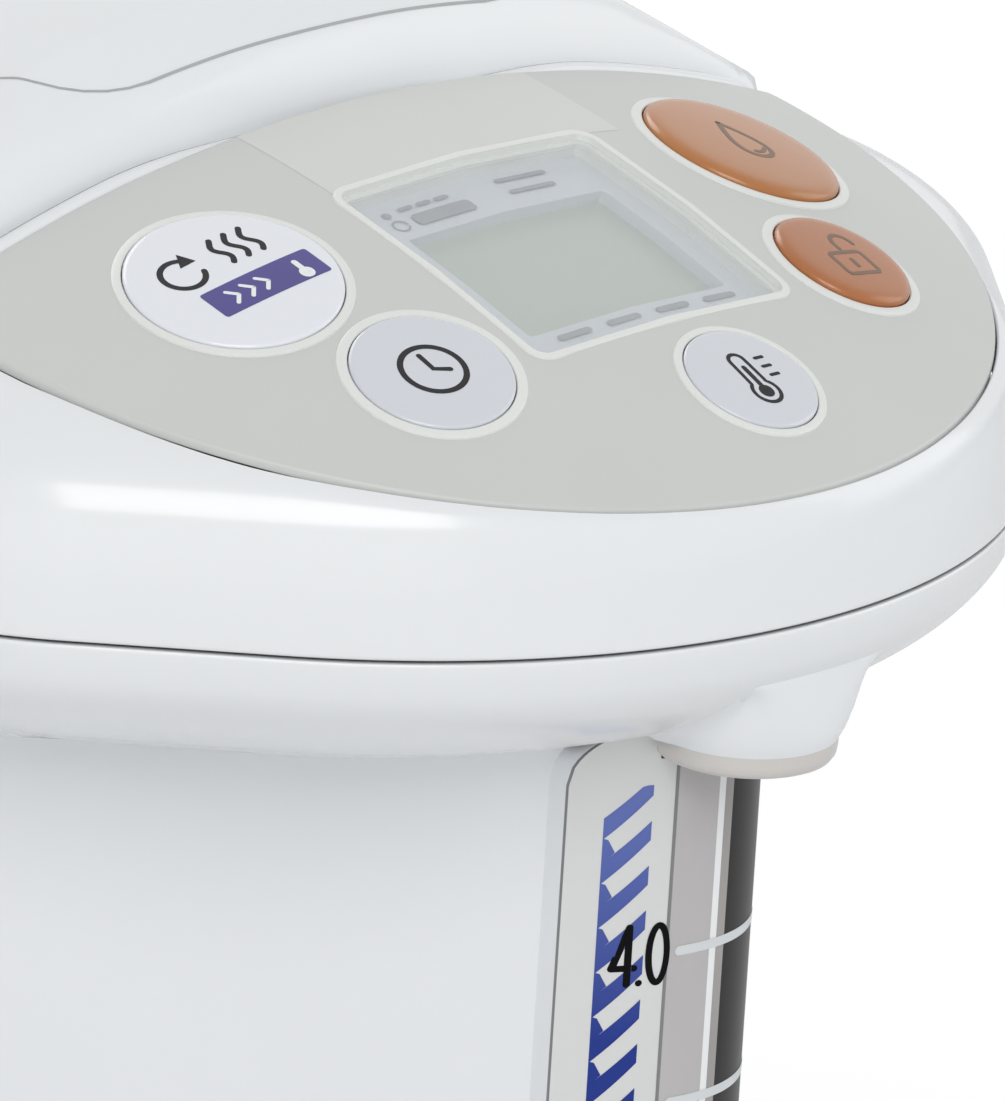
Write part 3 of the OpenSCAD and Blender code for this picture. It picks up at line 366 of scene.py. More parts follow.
def slab(loop, low, high, edge, place=None):
    """A closed plate of a plan loop from low to high, its edges rounded by a quarter circle."""
    middle = loop.mean(0)
    along = neighbours(loop, True)
    out = np.stack([along[:, 1], -along[:, 0]], -1)
    if ((loop - middle) * out).sum() < 0:
        out = -out

    def ring(shape, z):
        return np.concatenate([shape, np.full((len(loop), 1), z)], 1)

    turn = np.linspace(0, math.pi / 2, 5)
    run = [(edge - edge * np.sin(t), low + edge - edge * np.cos(t)) for t in turn]
    run += [(edge - edge * np.cos(t), high - edge + edge * np.sin(t)) for t in turn]
    rings = [ring(middle + (loop - middle) * s, low) for s in (0.0, 0.5)]
    rings += [ring(loop - out * inset, z) for inset, z in run]
    rings += [ring(middle + (loop - middle) * s, high) for s in (0.5, 0.0)]
    points = np.array(rings)
    if place is not None:
        points = on_dome(place, points[..., 0], points[..., 1], points[..., 2])
    return patch(points, wrap_columns=True)


def dome_ring(place, profile):
    """A profile of (radius, height) turned about the dome's own direction at a place."""
    profile = np.asarray(profile, float)
    way = circle(full_turn(120))
    points = on_dome(place, profile[:, :1] * way[:, 0], profile[:, :1] * way[:, 1], profile[:, 1:])
    return patch(points, wrap_columns=True, away=under_dome(place, 20.0))


def laid(rise, away):
    """A lift that lays flat marks in space by a function, to face away from a point."""
    def lift(a, b):
        return rise(a, b)

    lift.away = np.asarray(away, float)
    return lift


def ribbon(line, width, lift, closed=False):
    """A flat stroke: edges half a width off a line, ends half-round, placed by a lift."""
    line = np.asarray(line, float)
    along = neighbours(line, closed)
    side = np.stack([-along[:, 1], along[:, 0]], -1)
    half = np.full((len(line), 1), width / 2)
    if not closed:
        turn = np.linspace(0, math.pi / 2, 5)[:-1]
        head = line[:1] - along[:1] * (width / 2) * np.cos(turn)[:, None]
        tail = line[-1:] + along[-1:] * (width / 2) * np.cos(turn[::-1])[:, None]
        caps = (width / 2) * np.sin(turn)[:, None]
        line = np.concatenate([head, line, tail])
        side = np.concatenate([np.repeat(side[:1], 4, 0), side, np.repeat(side[-1:], 4, 0)])
        half = np.concatenate([caps, half, caps[::-1]])
    grid = np.stack([line - side * half, line + side * half])
    return patch(lift(grid[..., 0], grid[..., 1]), wrap_columns=closed, away=lift.away)


def dense(loop, step):
    """A closed loop with more points, none further from the next than a step."""
    parts = []
    for here, there in zip(loop, np.roll(loop, -1, 0)):
        count = max(1, math.ceil(np.linalg.norm(there - here) / step))
        parts.append(here + (there - here) * (np.arange(count) / count)[:, None])
    return np.concatenate(parts)


def filled(loop, lift):
    """A flat filled shape: the loop drawn in to its middle in five steps."""
    loop = np.asarray(loop, float)
    middle = (loop.max(0) + loop.min(0)) / 2
    shares = np.array([1, 0.8, 0.6, 0.4, 0.2, 0.0])[:, None, None]
    grid = middle + (dense(loop, 0.7) - middle) * shares
    return patch(lift(grid[..., 0], grid[..., 1]), wrap_columns=True, away=lift.away)


def arc(x, y, rx, ry, start, end, steps=24):
    """Points of an ellipse's arc, angles in degrees."""
    return circle(np.radians(np.linspace(start, end, steps))) * [rx, ry] + [x, y]


def dot(x, y, radius, lift):
    """A small filled circle."""
    return filled(arc(x, y, radius, radius, 0, 345), lift)


# ---- finishes ----
def node(tree, kind, values=None, links=None):
    """A new shader node with input values and with links from other outputs."""
    made = tree.nodes.new("ShaderNode" + kind)
    for name, value in (values or {}).items():
        made.inputs[name].default_value = value
    for name, source in (links or {}).items():
        tree.links.new(source, made.inputs[name])
    return made


def set_ramp(ramp, low, high, low_colour, high_colour):
    """A ramp between two places and two colours."""
    ends = zip(ramp.color_ramp.elements, (low, high), (low_colour, high_colour))
    for element, place, colour in ends:
        element.position = place
        element.color = [*colour[:3], 1]


def finish(name, colour, roughness, metallic=0.0, mottle=0.03, mottle_size=25.0, grain=0.0,
           grain_size=900.0, coat=0.0, alpha=1.0, ior=1.46, spread=0.08, glow=0.0):
    """A moulded or painted surface: colour and gloss wander a little, and a fine grain lifts it."""
    made = bpy.data.materials.new(name)
    made.use_nodes = True
    tree = made.node_tree
    shader = tree.nodes["Principled BSDF"]
    place = {"Vector": node(tree, "TexCoord").outputs["Object"]}
    wander = node(tree, "TexNoise", {"Scale": mottle_size, "Detail": 3}, place).outputs["Fac"]
    ramp = node(tree, "ValToRGB", links={"Fac": wander})
    set_ramp(ramp, 0.3, 0.7, [c * (1 - mottle) for c in colour[:3]],
             [min(1, c * (1 + mottle)) for c in colour[:3]])
    gloss = node(tree, "MapRange", {"To Min": max(0.02, roughness - spread / 2),
                                    "To Max": min(1.0, roughness + spread / 2)}, {"Value": wander})
    tree.links.new(ramp.outputs["Color"], shader.inputs["Base Color"])
    tree.links.new(gloss.outputs["Result"], shader.inputs["Roughness"])
    if grain:
        fine = node(tree, "TexNoise", {"Scale": grain_size, "Detail": 2}, place)
        bump = node(tree, "Bump", {"Strength": grain, "Distance": 0.0001},
                    {"Height": fine.outputs["Fac"]})
        tree.links.new(bump.outputs["Normal"], shader.inputs["Normal"])
    values = {"Metallic": metallic, "Coat Weight": coat, "Coat Roughness": 0.08, "IOR": ior,
              "Alpha": alpha}
    if glow:
        values.update({"Subsurface Weight": glow, "Subsurface Scale": 0.002})
    for key, value in values.items():
        shader.inputs[key].default_value = value
    return made


def by_height(made, low, high, low_colour, high_colour):
    """The colour runs from one to another between two heights of the object."""
    tree = made.node_tree
    place = next(n for n in tree.nodes if n.type == "TEX_COORD")
    ramp = next(n for n in tree.nodes if n.type == "VALTORGB")
    split = node(tree, "SeparateXYZ", links={"Vector": place.outputs["Object"]})
    run = node(tree, "MapRange", {"From Min": low * MM, "From Max": high * MM},
               {"Value": split.outputs["Z"]})
    tree.links.new(run.outputs["Result"], ramp.inputs["Fac"])
    set_ramp(ramp, 0.0, 1.0, low_colour, high_colour)
    return made


def combined(tree, operation, a, b):
    """A maths node over two outputs."""
    made = node(tree, "Math", links={0: a, 1: b})
    made.operation = operation
    return made.outputs[0]


def pale_floor():
    """Floor finish: pale near the pot, turning to plain white for the camera further away."""
    made = finish("floor", linear(236, 236, 236), 0.6, mottle=0.01, mottle_size=3)
    tree = made.node_tree
    place = next(n for n in tree.nodes if n.type == "TEX_COORD")
    away = node(tree, "VectorMath", links={0: place.outputs["Object"]})
    away.operation = "LENGTH"
    share = node(tree, "MapRange", {"From Min": 0.2, "From Max": 0.5},
                 {"Value": away.outputs["Value"]})
    share.interpolation_type = "SMOOTHSTEP"
    seen = node(tree, "LightPath").outputs["Is Camera Ray"]
    mix = node(tree, "MixShader", links={
        "Fac": combined(tree, "MULTIPLY", share.outputs["Result"], seen),
        1: tree.nodes["Principled BSDF"].outputs["BSDF"],
        2: node(tree, "Emission").outputs["Emission"],
    })
    tree.links.new(mix.outputs["Shader"], tree.nodes["Material Output"].inputs["Surface"])
    return made


# Finish: colour (a setting's name or a display colour), roughness, what differs from the defaults.
LOOKS = {
    "white_plastic": ("plastic", 0.22, dict(mottle=0.008, grain=0.03, coat=0.25)),
    "white_metal": ("sleeve", 0.18, dict(mottle=0.008, grain=0.02, coat=0.35)),
    "panel_film": ("film", 0.42, dict(mottle=0.012, grain=0.05, grain_size=2500)),
    "panel_band": ("band", 0.42, dict(mottle=0.01, grain=0.05, grain_size=2500)),
    "clear_plastic": ((226, 230, 232), 0.06, dict(mottle=0.01, alpha=0.16, spread=0.03)),
    "display_grey": ("crystal", 0.3, dict(mottle=0.02, grain=0.02, grain_size=3000)),
    "display_bezel": ("bezel", 0.35, dict(mottle=0.015, grain=0.03)),
    "ring": ("ring", 0.3, dict(mottle=0.01, grain=0.03)),
    "orange_cap": ("orange", 0.25, dict(mottle=0.03, coat=0.25, glow=0.1)),
    "orange_small": ("orange_small", 0.25, dict(mottle=0.03, coat=0.25, glow=0.1)),
    "white_cap": ("cap_white", 0.2, dict(mottle=0.01, coat=0.4)),
    "grey_cap": ("cap_grey", 0.26, dict(mottle=0.012, coat=0.3)),
    "steel": ((190, 192, 196), 0.28, dict(metallic=1.0, mottle=0.03, grain=0.06)),
    "inner_plastic": ((226, 227, 224), 0.38, dict(mottle=0.015, grain=0.05)),
    "dark_plastic": ((52, 52, 56), 0.42, dict(mottle=0.05, grain=0.12)),
    "grey_plastic": ((120, 121, 124), 0.45, dict(mottle=0.04, grain=0.1)),
    "rubber": ((70, 70, 72), 0.75, dict(mottle=0.06, grain=0.2)),
    "silicone": ((176, 180, 184), 0.5, dict(mottle=0.03, grain=0.05, glow=0.2)),
    "brass": ((196, 164, 96), 0.25, dict(metallic=1.0, mottle=0.04, grain=0.05)),
    "board": ((38, 92, 58), 0.4, dict(mottle=0.12, mottle_size=120, grain=0.1)),
    "spout_plastic": ("spout", 0.3, dict(mottle=0.02, glow=0.15)),
    "mica": ((186, 170, 140), 0.5, dict(mottle=0.15, mottle_size=90, grain=0.15)),
    "red_plastic": ((168, 52, 44), 0.35, dict(mottle=0.04, grain=0.06)),
    "ink": ((44, 44, 46), 0.6, dict(mottle=0.06, mottle_size=200, ior=1.3)),
    "faint_ink": ((160, 163, 166), 0.45, dict(mottle=0.05, mottle_size=200)),
    "brown_ink": ((116, 92, 74), 0.4, dict(mottle=0.06, mottle_size=200)),
    "indigo": ("indigo", 0.35, dict(mottle=0.04, mottle_size=80)),
    "plate": ("plate", 0.35, dict(mottle=0.012, grain=0.04, grain_size=2000)),
    # Dark grey painted on the gauge plate's edge walls and along its slot as their shade.
    "plate_edge": ((128, 130, 130), 0.3, dict(mottle=0.05)),
    "channel": ((236, 234, 234), 0.32, dict(mottle=0.04, mottle_size=60, coat=0.2)),
    "silver_lens": ((205, 202, 203), 0.12, dict(mottle=0.03, mottle_size=40, alpha=0.8, coat=0.4)),
    "seam_shade": ((172, 174, 175), 0.5, dict(mottle=0.02)),
    # Near-white: print on the large left cap, and a highlight painted on the gauge window.
    "shine": ((238, 239, 240), 0.12, dict(mottle=0.01, coat=0.5)),
    # Dark and grey reflections painted on the right part of the gauge window.
    "smoke": ((30, 28, 29), 0.35, dict(mottle=0.08, mottle_size=60, ior=1.35)),
    "smoke_edge": ((158, 154, 153), 0.2, dict(mottle=0.05, mottle_size=60, coat=0.4)),
    "tick": ((214, 218, 220), 0.4, dict(mottle=0.02)),
    "pitch": ((12, 12, 14), 0.8, dict(mottle=0.1, ior=1.2)),
    "blue": ("blue", 0.45, dict(ior=1.3)),
}
FINISHES = {}


def finishes():
    """The finishes of every part, made once, by the record's slot names and a few more."""
    if not FINISHES:
        tint = bpy.context.scene.pot_colours
        for name, (base, roughness, more) in LOOKS.items():
            colour = getattr(tint, base) if isinstance(base, str) else linear(*base)
            FINISHES[name] = finish(name, colour, roughness, **more)
        by_height(FINISHES["blue"], 212, 250, tint.blue, tint.blue_pale)
    return FINISHES


def length(name, description, default, low, high):
    """Property of a length that a user would change."""
    return bpy.props.FloatProperty(name=name, description=description, default=default,
                                   min=low, max=high, unit="LENGTH")


def tint(name, description, *colour):
    """Property of a colour that a user would change, from an 8-bit display colour."""
    return bpy.props.FloatVectorProperty(name=name, description=description, size=3, min=0, max=1,
                                         default=linear(*colour), subtype="COLOR")


class PotSizes(bpy.types.PropertyGroup):
    """Sizes of the surfaces that a user would change."""

    ring_height: length("Ring height", "How far the light rings stand above the panel",
                        0.00035, 0.0001, 0.001)
    frame_width: length("Display frame width", "Width of the light frame around the display window",
                        0.0013, 0.0005, 0.003)
    recess: length("Display recess", "Depth of the display's bezel below the panel",
                   0.0028, 0.001, 0.004)
    cap_rise: length("Orange cap height", "How far the two orange caps stand above the panel",
                     0.0015, 0.0005, 0.0025)
    stripe_pitch: length("Stripe pitch", "Distance between blue stripes of the level gauge",
                         0.00625, 0.004, 0.012)
    tick_pitch: length("Tick pitch", "Distance between ticks of the level gauge, half a litre",
                       0.0214, 0.01, 0.04)


class PotColours(bpy.types.PropertyGroup):
    """Colours of the surfaces that a user would change."""

    plastic: tint("Plastic", "White moulded plastic of head, rim and lid", 233, 235, 237)
    sleeve: tint("Sleeve", "Painted steel of the body", 231, 233, 236)
    film: tint("Panel film", "Satin grey film of the control panel", 205, 207, 204)
    band: tint("Panel band", "Lighter band of the film behind the display", 214, 215, 211)
    ring: tint("Rings", "Light rings around buttons and display", 228, 230, 226)
    orange: tint("Large orange cap", "Button that pours the water", 180, 116, 60)
    orange_small: tint("Small orange cap", "Button that unlocks pouring", 174, 106, 56)
    cap_white: tint("White cap", "Large button at the left", 232, 234, 240)
    cap_grey: tint("Grey caps", "Small button at the left and front button", 212, 215, 221)
    crystal: tint("Liquid crystal", "Display glass", 194, 202, 192)
    bezel: tint("Bezel", "Plate around the display glass", 216, 220, 225)
    indigo: tint("Indigo field", "Field on the large left button", 78, 72, 140)
    blue: tint("Gauge blue", "Stripes of the level gauge", 32, 54, 138)
    blue_pale: tint("Gauge blue, upper end", "Stripes of the gauge near the spout", 104, 120, 186)
    plate: tint("Gauge plate", "Printed plate of the level gauge", 216, 217, 216)
    spout: tint("Spout ring", "Ring at the spout's mouth", 208, 204, 200)


# ---- head, rim and body ----
def head_top(x, y):
    """Height of the head's top: side profile or dome, whichever is lower, softly joined."""
    side = smooth(HEAD_SIDE)
    edge = SEAM_Z + np.interp(inset_of(HEAD, x, y), side[:, 1], side[:, 0])
    return soft_min(edge, dome_z(x, y), DOME_JOIN)


def head_columns():
    """Start, way and inner length of the head's columns, with notch and corner lines exact."""
    front = LID_FRONT - LID_GAP
    edge = ray(HEAD, LEDGE - LID_GAP, np.array([[0, front]]), np.array([[1.0, 0]]))[0]
    corner = np.array([math.sqrt(PANEL_R**2 - (PANEL_BACK - PANEL_Y) ** 2), PANEL_BACK])
    ends = [corner, np.array([edge, front])]
    special = [math.atan2(p[1] - MIDDLE[1], p[0]) for p in ends]
    special += [math.atan2(math.sqrt(HEAD[3, 2] ** 2 - NOTCH**2) - MIDDLE[1], NOTCH)]
    limit = special[2]
    theta = exact_turns(640, special + [math.pi - t for t in special])
    way = circle(theta)
    outer = MIDDLE + way * ray(HEAD, 0, MIDDLE, way)[:, None]
    lean = eased(np.clip((np.minimum(theta, math.pi - theta) - 0.7) / (limit - 0.7), 0, 1))
    lean = np.where(theta > 0, lean, 0)
    across = np.clip(outer[:, 0], -NOTCH, NOTCH) * lean
    start = np.stack([across, np.full(len(theta), MIDDLE[1])], -1)
    way = outer - start
    way /= np.linalg.norm(way, axis=1, keepdims=True)
    lid = ray(HEAD, LEDGE - LID_GAP, start, way)
    from_panel = start - np.array([0, PANEL_Y])
    along = (from_panel * way).sum(1)
    panel = -along + np.sqrt(np.maximum(along**2 - (from_panel**2).sum(1) + PANEL_R**2, 0))
    a = np.where(way[:, :1] < 0, ends[0] * [-1, 1], ends[0])
    span = np.where(way[:, :1] < 0, ends[1] * [-1, 1], ends[1]) - a
    gap = a - start
    between = (gap[:, 0] * span[:, 1] - gap[:, 1] * span[:, 0]) / (
        way[:, 0] * span[:, 1] - way[:, 1] * span[:, 0] + 1e-12)
    at_lid = start[:, 1] + way[:, 1] * lid >= front - 1e-6
    at_panel = start[:, 1] + way[:, 1] * panel <= PANEL_BACK + 1e-6
    return start, way, np.where(at_lid, lid, np.where(at_panel, panel, between)), ~at_panel


def head_shell():
    """The head's skin: columns run up the side, over the dome and into panel seat or lid well."""
    start, way, stop, at_well = head_columns()
    side = smooth(HEAD_SIDE)
    side = np.concatenate([side, [[NOTCH_UP, np.interp(NOTCH_UP, side[:, 0], side[:, 1])]]])
    side = side[np.lexsort((side[:, 1], side[:, 0]))]
    lengths = np.array([ray(HEAD, inset, start, way) for inset in side[:, 1]])
    heights = np.broadcast_to(SEAM_Z + side[:, :1], lengths.shape)
    x, y, _ = np.moveaxis(columns(start, way, lengths, heights), -1, 0)
    heights = np.where(side[:, :1] > 10, soft_min(heights, dome_z(x, y), DOME_JOIN), heights)
    lengths, heights = cut_at(lengths, heights, stop + 0.35)
    top = heights[-1]
    floor = np.where(at_well, WELL_Z, top - 1.8)
    notch = np.where(at_well, SEAM_Z + NOTCH_UP, top - 1.7)
    lengths = np.concatenate([lengths, [stop + 0.1, stop, stop, stop]])
    heights = np.concatenate([heights, [top - 0.12, top - 0.45, notch, floor]])
    points = columns(start, way, lengths, heights)
    x, y, z = np.moveaxis(centres(points), -1, 0)
    keep = ~((np.abs(x) < NOTCH) & (y > 60) & (z > SEAM_Z + NOTCH_UP - 0.01))
    return patch(points, wrap_columns=True, keep=keep, away=(0, -20, 250))


def well():
    """Floor of the lid's seat from its edge to the round hole, and the collar under it."""
    way = circle(full_turn(240))
    out = np.minimum(ray(HEAD, LEDGE - LID_GAP, WELL_CENTRE, way),
                     to_front(way, WELL_CENTRE, LID_FRONT - LID_GAP))
    rings = [WELL_R + 0.8, WELL_R + 0.2, WELL_R, WELL_R, WELL_R + 2.4, WELL_R + 2.4]
    lengths = np.array([out] + [np.full(240, radius) for radius in rings])
    heights = np.array([WELL_Z, WELL_Z, WELL_Z - 0.2, WELL_Z - 0.8, 264, 264, 286])[:, None]
    return patch(columns(WELL_CENTRE, way, lengths, heights), wrap_columns=True, away=(0, 8, 200))


def bead():
    """The strip between lid and panel: a rounded crest along x, and the well's front wall."""
    x = np.unique(np.concatenate([np.linspace(-84, 84, 113), [-10, 10]]))
    run = [(-61.62, -1.8), (-61.6, -0.35), (-61.4, 0.15), (-60.95, 0.42), (-60.4, 0.5),
           (-59.85, 0.42), (-59.35, 0.1), (-59.12, -0.4), (-59.1, -1.2)]
    fade = np.clip((84 - np.abs(x)) / 5, 0, 1)
    rows = []
    for y, lift in run:
        crest = max(lift, 0) * fade + min(lift, 0) - 0.35 * (1 - fade)
        rows.append(np.stack([x, np.full(len(x), y), head_top(x, np.full(len(x), y)) + crest], -1))
    for z in (301.0, 292.0, WELL_Z):
        rows.append(np.stack([x, np.full(len(x), run[-1][0]), np.full(len(x), z)], -1))
    keep = np.ones((len(rows) - 1, len(x) - 1), bool)
    keep[-2] = np.abs(x[:-1] + x[1:]) > 20
    return patch(np.array(rows), keep=keep, away=(0, -60.4, 280))


def notch_floor():
    """Level floor of the hinge notch at the head's back, from the lid's seat to the outline."""
    x = np.linspace(-NOTCH, NOTCH, 31)
    side = smooth(HEAD_SIDE)
    rows = []
    for inset in (LEDGE - LID_GAP, np.interp(NOTCH_UP, side[:, 0], side[:, 1])):
        y = ray(HEAD, inset, np.stack([x, x * 0], -1), np.broadcast_to([0.0, 1.0], (31, 2)))
        rows.append(np.stack([x, y, np.full(31, SEAM_Z + NOTCH_UP)], -1))
    return patch(np.array(rows), away=(0, 90, 200))


def notch_cheek(side):
    """End wall of the hinge notch: an upright strip under the head's top line, 4 mm thick."""
    y = np.linspace(85.1, 103.6, 24)
    x = np.full(24, side * NOTCH)
    top = head_top(x, y) - 0.25
    wall = [(x, np.full(24, SEAM_Z + NOTCH_UP - 0.5)), (x, top - 0.3), (x + side * 0.3, top),
            (x + side * 4, top - 0.2)]
    rows = np.array([np.stack([across, y, z], -1) for across, z in wall])
    return patch(rows, away=(side * 80, 94, 280))


def hinge_lug(side):
    """Ear that holds one end of the hinge pin: a round eye and the block that carries it."""
    low, high = sorted((side * 30.52, side * 36.45))
    block = rounded(5.9, 2 * EYE_R, 0.6) + [side * 33.5, HINGE[0]]
    return [barrel((low, *HINGE), (high, *HINGE), EYE_R), slab(block, 288.05, 300.3, 0.3)]


class POT_OT_head(bpy.types.Operator):
    """Head cover: side, dome, seat of the lid, bead behind the panel, hinge notch and hinge lugs"""

    bl_idname = "pot.head"
    bl_label = "Head cover"

    def execute(self, context):
        patches = [head_shell(), well(), bead(), notch_floor(), notch_cheek(1), notch_cheek(-1),
                   *hinge_lug(1), *hinge_lug(-1)]
        make("head_shell", patches, "white_plastic", node="head_cover", sharp=50)

        def behind_bead(x, y):
            back = np.interp(y, [-60.4, -59.85, -59.35, -59.12], [0.5, 0.42, 0.1, -0.4])
            return np.stack([x, y, head_top(x, y) + back + 0.06], -1)

        line = np.stack([np.linspace(-77, 77, 155), np.full(155, -59.5)], -1)
        shade = ribbon(line, 0.42, laid(behind_bead, (0, 0, 200)))
        make("bead_shade", [shade], "seam_shade")
        return {"FINISHED"}


def rim_shell():
    """The rim's skin: columns run in from the head's outline to the body, hugging its sides."""
    front = np.radians(np.linspace(-106, -74, 161))
    way = circle(np.unique(np.concatenate([full_turn(640, -math.pi), front])))
    side = smooth(RIM_SIDE, 3)
    lengths = np.array([ray(HEAD, inset, MIDDLE, way) for inset in side[:, 1]])
    heights = np.broadcast_to(SEAM_Z - side[:, :1], lengths.shape)
    bulge = MIDDLE[1] - GAUGE_Y
    across = np.abs(way[:, 0]) * bulge
    hit = -way[:, 1] * bulge + np.sqrt(np.maximum(GAUGE_R**2 - across**2, 0))
    hit = np.where((way[:, 1] < 0) & (np.abs(way[:, 0]) * hit < GAUGE_LEFT), hit, 0)
    hug = eased(np.clip((np.degrees(np.arccos(np.clip(-way[:, 1], -1, 1))) - 25) / 25, 0, 1))
    stop = np.maximum(ray(BODY, 0, MIDDLE, way), hit) - 0.4 + 1.6 * hug
    lengths, heights = cut_at(lengths, heights, stop)
    end = np.minimum(heights[-1], SEAM_Z - 25 * hug)
    lengths = np.concatenate([lengths, [stop, stop, stop - 0.3 * hug, stop - 1.6 * hug - 0.1]])
    heights = np.concatenate([heights, [end * 0.5 + heights[-1] * 0.5, end + 0.3, end, end - 0.02]])
    points = columns(MIDDLE, way, lengths, heights)
    middle = centres(points)
    keep = np.hypot(middle[..., 0], middle[..., 1] - SPOUT_Y) > 11.3
    return patch(points, wrap_columns=True, keep=keep, away=(0, -20, 300))


def spout_cup():
    """The cup round the spout: a radius by the drop, kept in the outline, flaring into the rim."""
    spout = np.array([0.0, SPOUT_Y])
    way = circle(full_turn(160))
    side = smooth(RIM_SIDE, 3)
    wall = ray(HEAD, 2.5, spout, way)
    near = spout + way * soft_min(np.full(160, 17.4), wall, 1.2)[:, None]
    under = np.interp(inset_of(HEAD, near[:, 0], near[:, 1]), side[3:, 1], side[3:, 0])
    under = np.clip(under, 8.5, 19.6)
    mouth = 20.1
    rows = []
    for share in (0, 0.06, 0.14, 0.25, 0.38, 0.52, 0.66, 0.78, 0.88, 0.95, 1.0, 1.3):
        hidden = share > 1
        drop = under - 2 if hidden else mouth + (under - mouth) * share
        cup = np.interp(drop, [8, 10.3, 13, 15.8, 18.3, mouth],
                        [16.0, 15.4, 14.8, 14.1, 13.3, 12.4])
        cup = cup + 2.0 * np.clip(1 - (drop - under) / 3.5, 0, 1) ** 2
        limit = ray(HEAD, 3.4, spout, way) if hidden else wall
        x, y = (spout + way * soft_min(cup, limit, 1.2)[:, None]).T
        rows.append(np.stack([x, y, SEAM_Z - drop], -1))
    return patch(np.array(rows), wrap_columns=True, away=(0, SPOUT_Y, 262))


class POT_OT_rim(bpy.types.Operator):
    """Rim under the head with the spout cup, the spout's inside and its ring"""

    bl_idname = "pot.rim"
    bl_label = "Rim and spout"

    def execute(self, context):
        inside = [(11.4, 255.2), (10.5, 256), (10.5, 266), (9, 268), (4.9, 268.5)]
        inside = turned(inside, 0, SPOUT_Y, 64, away=(0, SPOUT_Y, 240))
        make("rim_shell", [rim_shell(), spout_cup(), inside], "white_plastic", node="rim", sharp=50)
        screw = [(0, 262), (2.6, 262), (3.0, 262.6), (3.0, 264.4), (1.5, 264.6), (1.5, 281),
                 (0, 281)]
        places = ((70.1, -87.9), (-70.1, -87.9), (70, 49.9), (-70, 49.9))
        screws = [turned(screw, x, y, 32) for x, y in places]
        make("head_screw_set", screws, "steel", node="head_screws")
        ring = [(12.4, 254.9), (12.36, 253.6), (12.2, 252.7), (11.7, 251.95), (11.2, 251.72),
                (9.6, 251.7), (9.3, 251.9), (9.2, 252.4), (9.2, 258), (10.3, 258), (10.6, 255.0)]
        ring = turned(ring, 0, SPOUT_Y, 96, closed=True)
        make("spout_mouth", [ring], "spout_plastic", node="spout_ring")
        return {"FINISHED"}


def body_columns(rows, way):
    """Grid of the body's outline, each row drawn in by its inset at its height."""
    lengths = np.array([ray(BODY, inset, MIDDLE, way) for _, inset in rows])
    return columns(MIDDLE, way, lengths, np.array([z for z, _ in rows])[:, None])


def body_skin():
    """Painted sleeve: the body outline carried upwards, with exact edges at gauge and inlet."""
    inlet_y = math.sqrt(BODY[0, 2] ** 2 - INLET_HALF**2) - MIDDLE[1]
    _, bulge_y, bulge_r = BODY[1]
    special = [math.atan2(bulge_y - MIDDLE[1] - math.sqrt(bulge_r**2 - x**2), x) for x in OPENING]
    special += [math.atan2(inlet_y, INLET_HALF), math.atan2(inlet_y, -INLET_HALF)]
    points = body_columns(SLEEVE, circle(exact_turns(560, special)))
    x, y, z = np.moveaxis(centres(points), -1, 0)
    gauge = (x > OPENING[0]) & (x < OPENING[1]) & (y < -60) & (z > OPENING_LOW) & (z < OPENING_HIGH)
    inlet = (np.abs(x) < INLET_HALF) & (y > 60) & (z > INLET_LOW) & (z < INLET_HIGH)
    return patch(points, wrap_columns=True, keep=~(gauge | inlet), away=(0, -20, 140))


class POT_OT_body(bpy.types.Operator):
    """Painted sleeve of the body"""

    bl_idname = "pot.body"
    bl_label = "Body sleeve"

    def execute(self, context):
        make("body_skin", [body_skin()], "white_metal", node="body_sleeve")
        return {"FINISHED"}


class POT_OT_base(bpy.types.Operator):
    """Bottom cover with a rounded lower edge and the hole for the swivel"""

    bl_idname = "pot.base"
    bl_label = "Bottom cover"

    def execute(self, context):
        way = circle(full_turn(360, -math.pi))
        rows = [(BOTTOM_Z + BOTTOM_EDGE * (1 - math.cos(t)), BOTTOM_EDGE * (1 - math.sin(t)))
                for t in np.linspace(0, math.pi / 2, 7)]
        side = body_columns(rows + [(25.3, 0), (25.6, 0.1), (25.75, 0.4), (25.75, 1.2)], way)
        hole = np.concatenate([SWIVEL_HOLE_R * way, np.full((360, 1), BOTTOM_Z)], 1)
        points = np.concatenate([[hole + (side[0] - hole) * s for s in (0, 0.3, 0.6)], side])
        skin = patch(points, wrap_columns=True, away=(0, -20, 18))
        make("bottom_skin", [skin], "white_plastic", node="bottom_cover")
        return {"FINISHED"}


# ---- control panel ----
def panel_sheet():
    """The film: columns run over the dome from the window's edge to the panel's outline."""
    loop = dense(rounded(WINDOW_W, WINDOW_L, WINDOW_CORNER, 8), 0.4)
    centre = np.array([0.0, WINDOW_Y])
    way = on_dome(centre, loop[:, 0], loop[:, 1], 0.0)[:, :2] - centre
    begin = np.linalg.norm(way, axis=1)
    way /= begin[:, None]
    radius = PANEL_R - 0.24
    gap = centre - np.array([0, PANEL_Y])
    along = way @ gap
    out = -along + np.sqrt(along**2 - gap @ gap + radius**2)
    back = (PANEL_BACK - 0.05 - WINDOW_Y) / np.maximum(way[:, 1], 1e-6)
    out = soft_min(out, np.where(way[:, 1] > 1e-6, back, 1e9), 0.8)
    lengths = begin + (out - begin) * np.linspace(0, 1, 76)[:, None]
    lengths = np.concatenate([lengths[:-1], [out - 0.35, out - 0.1, out, out]])
    drop = np.concatenate([np.zeros(76), [0.08, 0.35, 1.2]])[:, None]
    points = columns(centre, way, lengths, 0.0)
    points[..., 2] = dome_z(points[..., 0], points[..., 1]) - drop
    middle = centres(points)
    keep = np.ones(middle.shape[:2], bool)
    for bx, by, cap, ring in BUTTONS.values():
        keep &= np.linalg.norm(middle - under_dome((bx, by), 0.0), axis=-1) > (cap + 0.3 + ring) / 2
    return patch(points, wrap_columns=True, keep=keep, away=DOME_CENTRE)


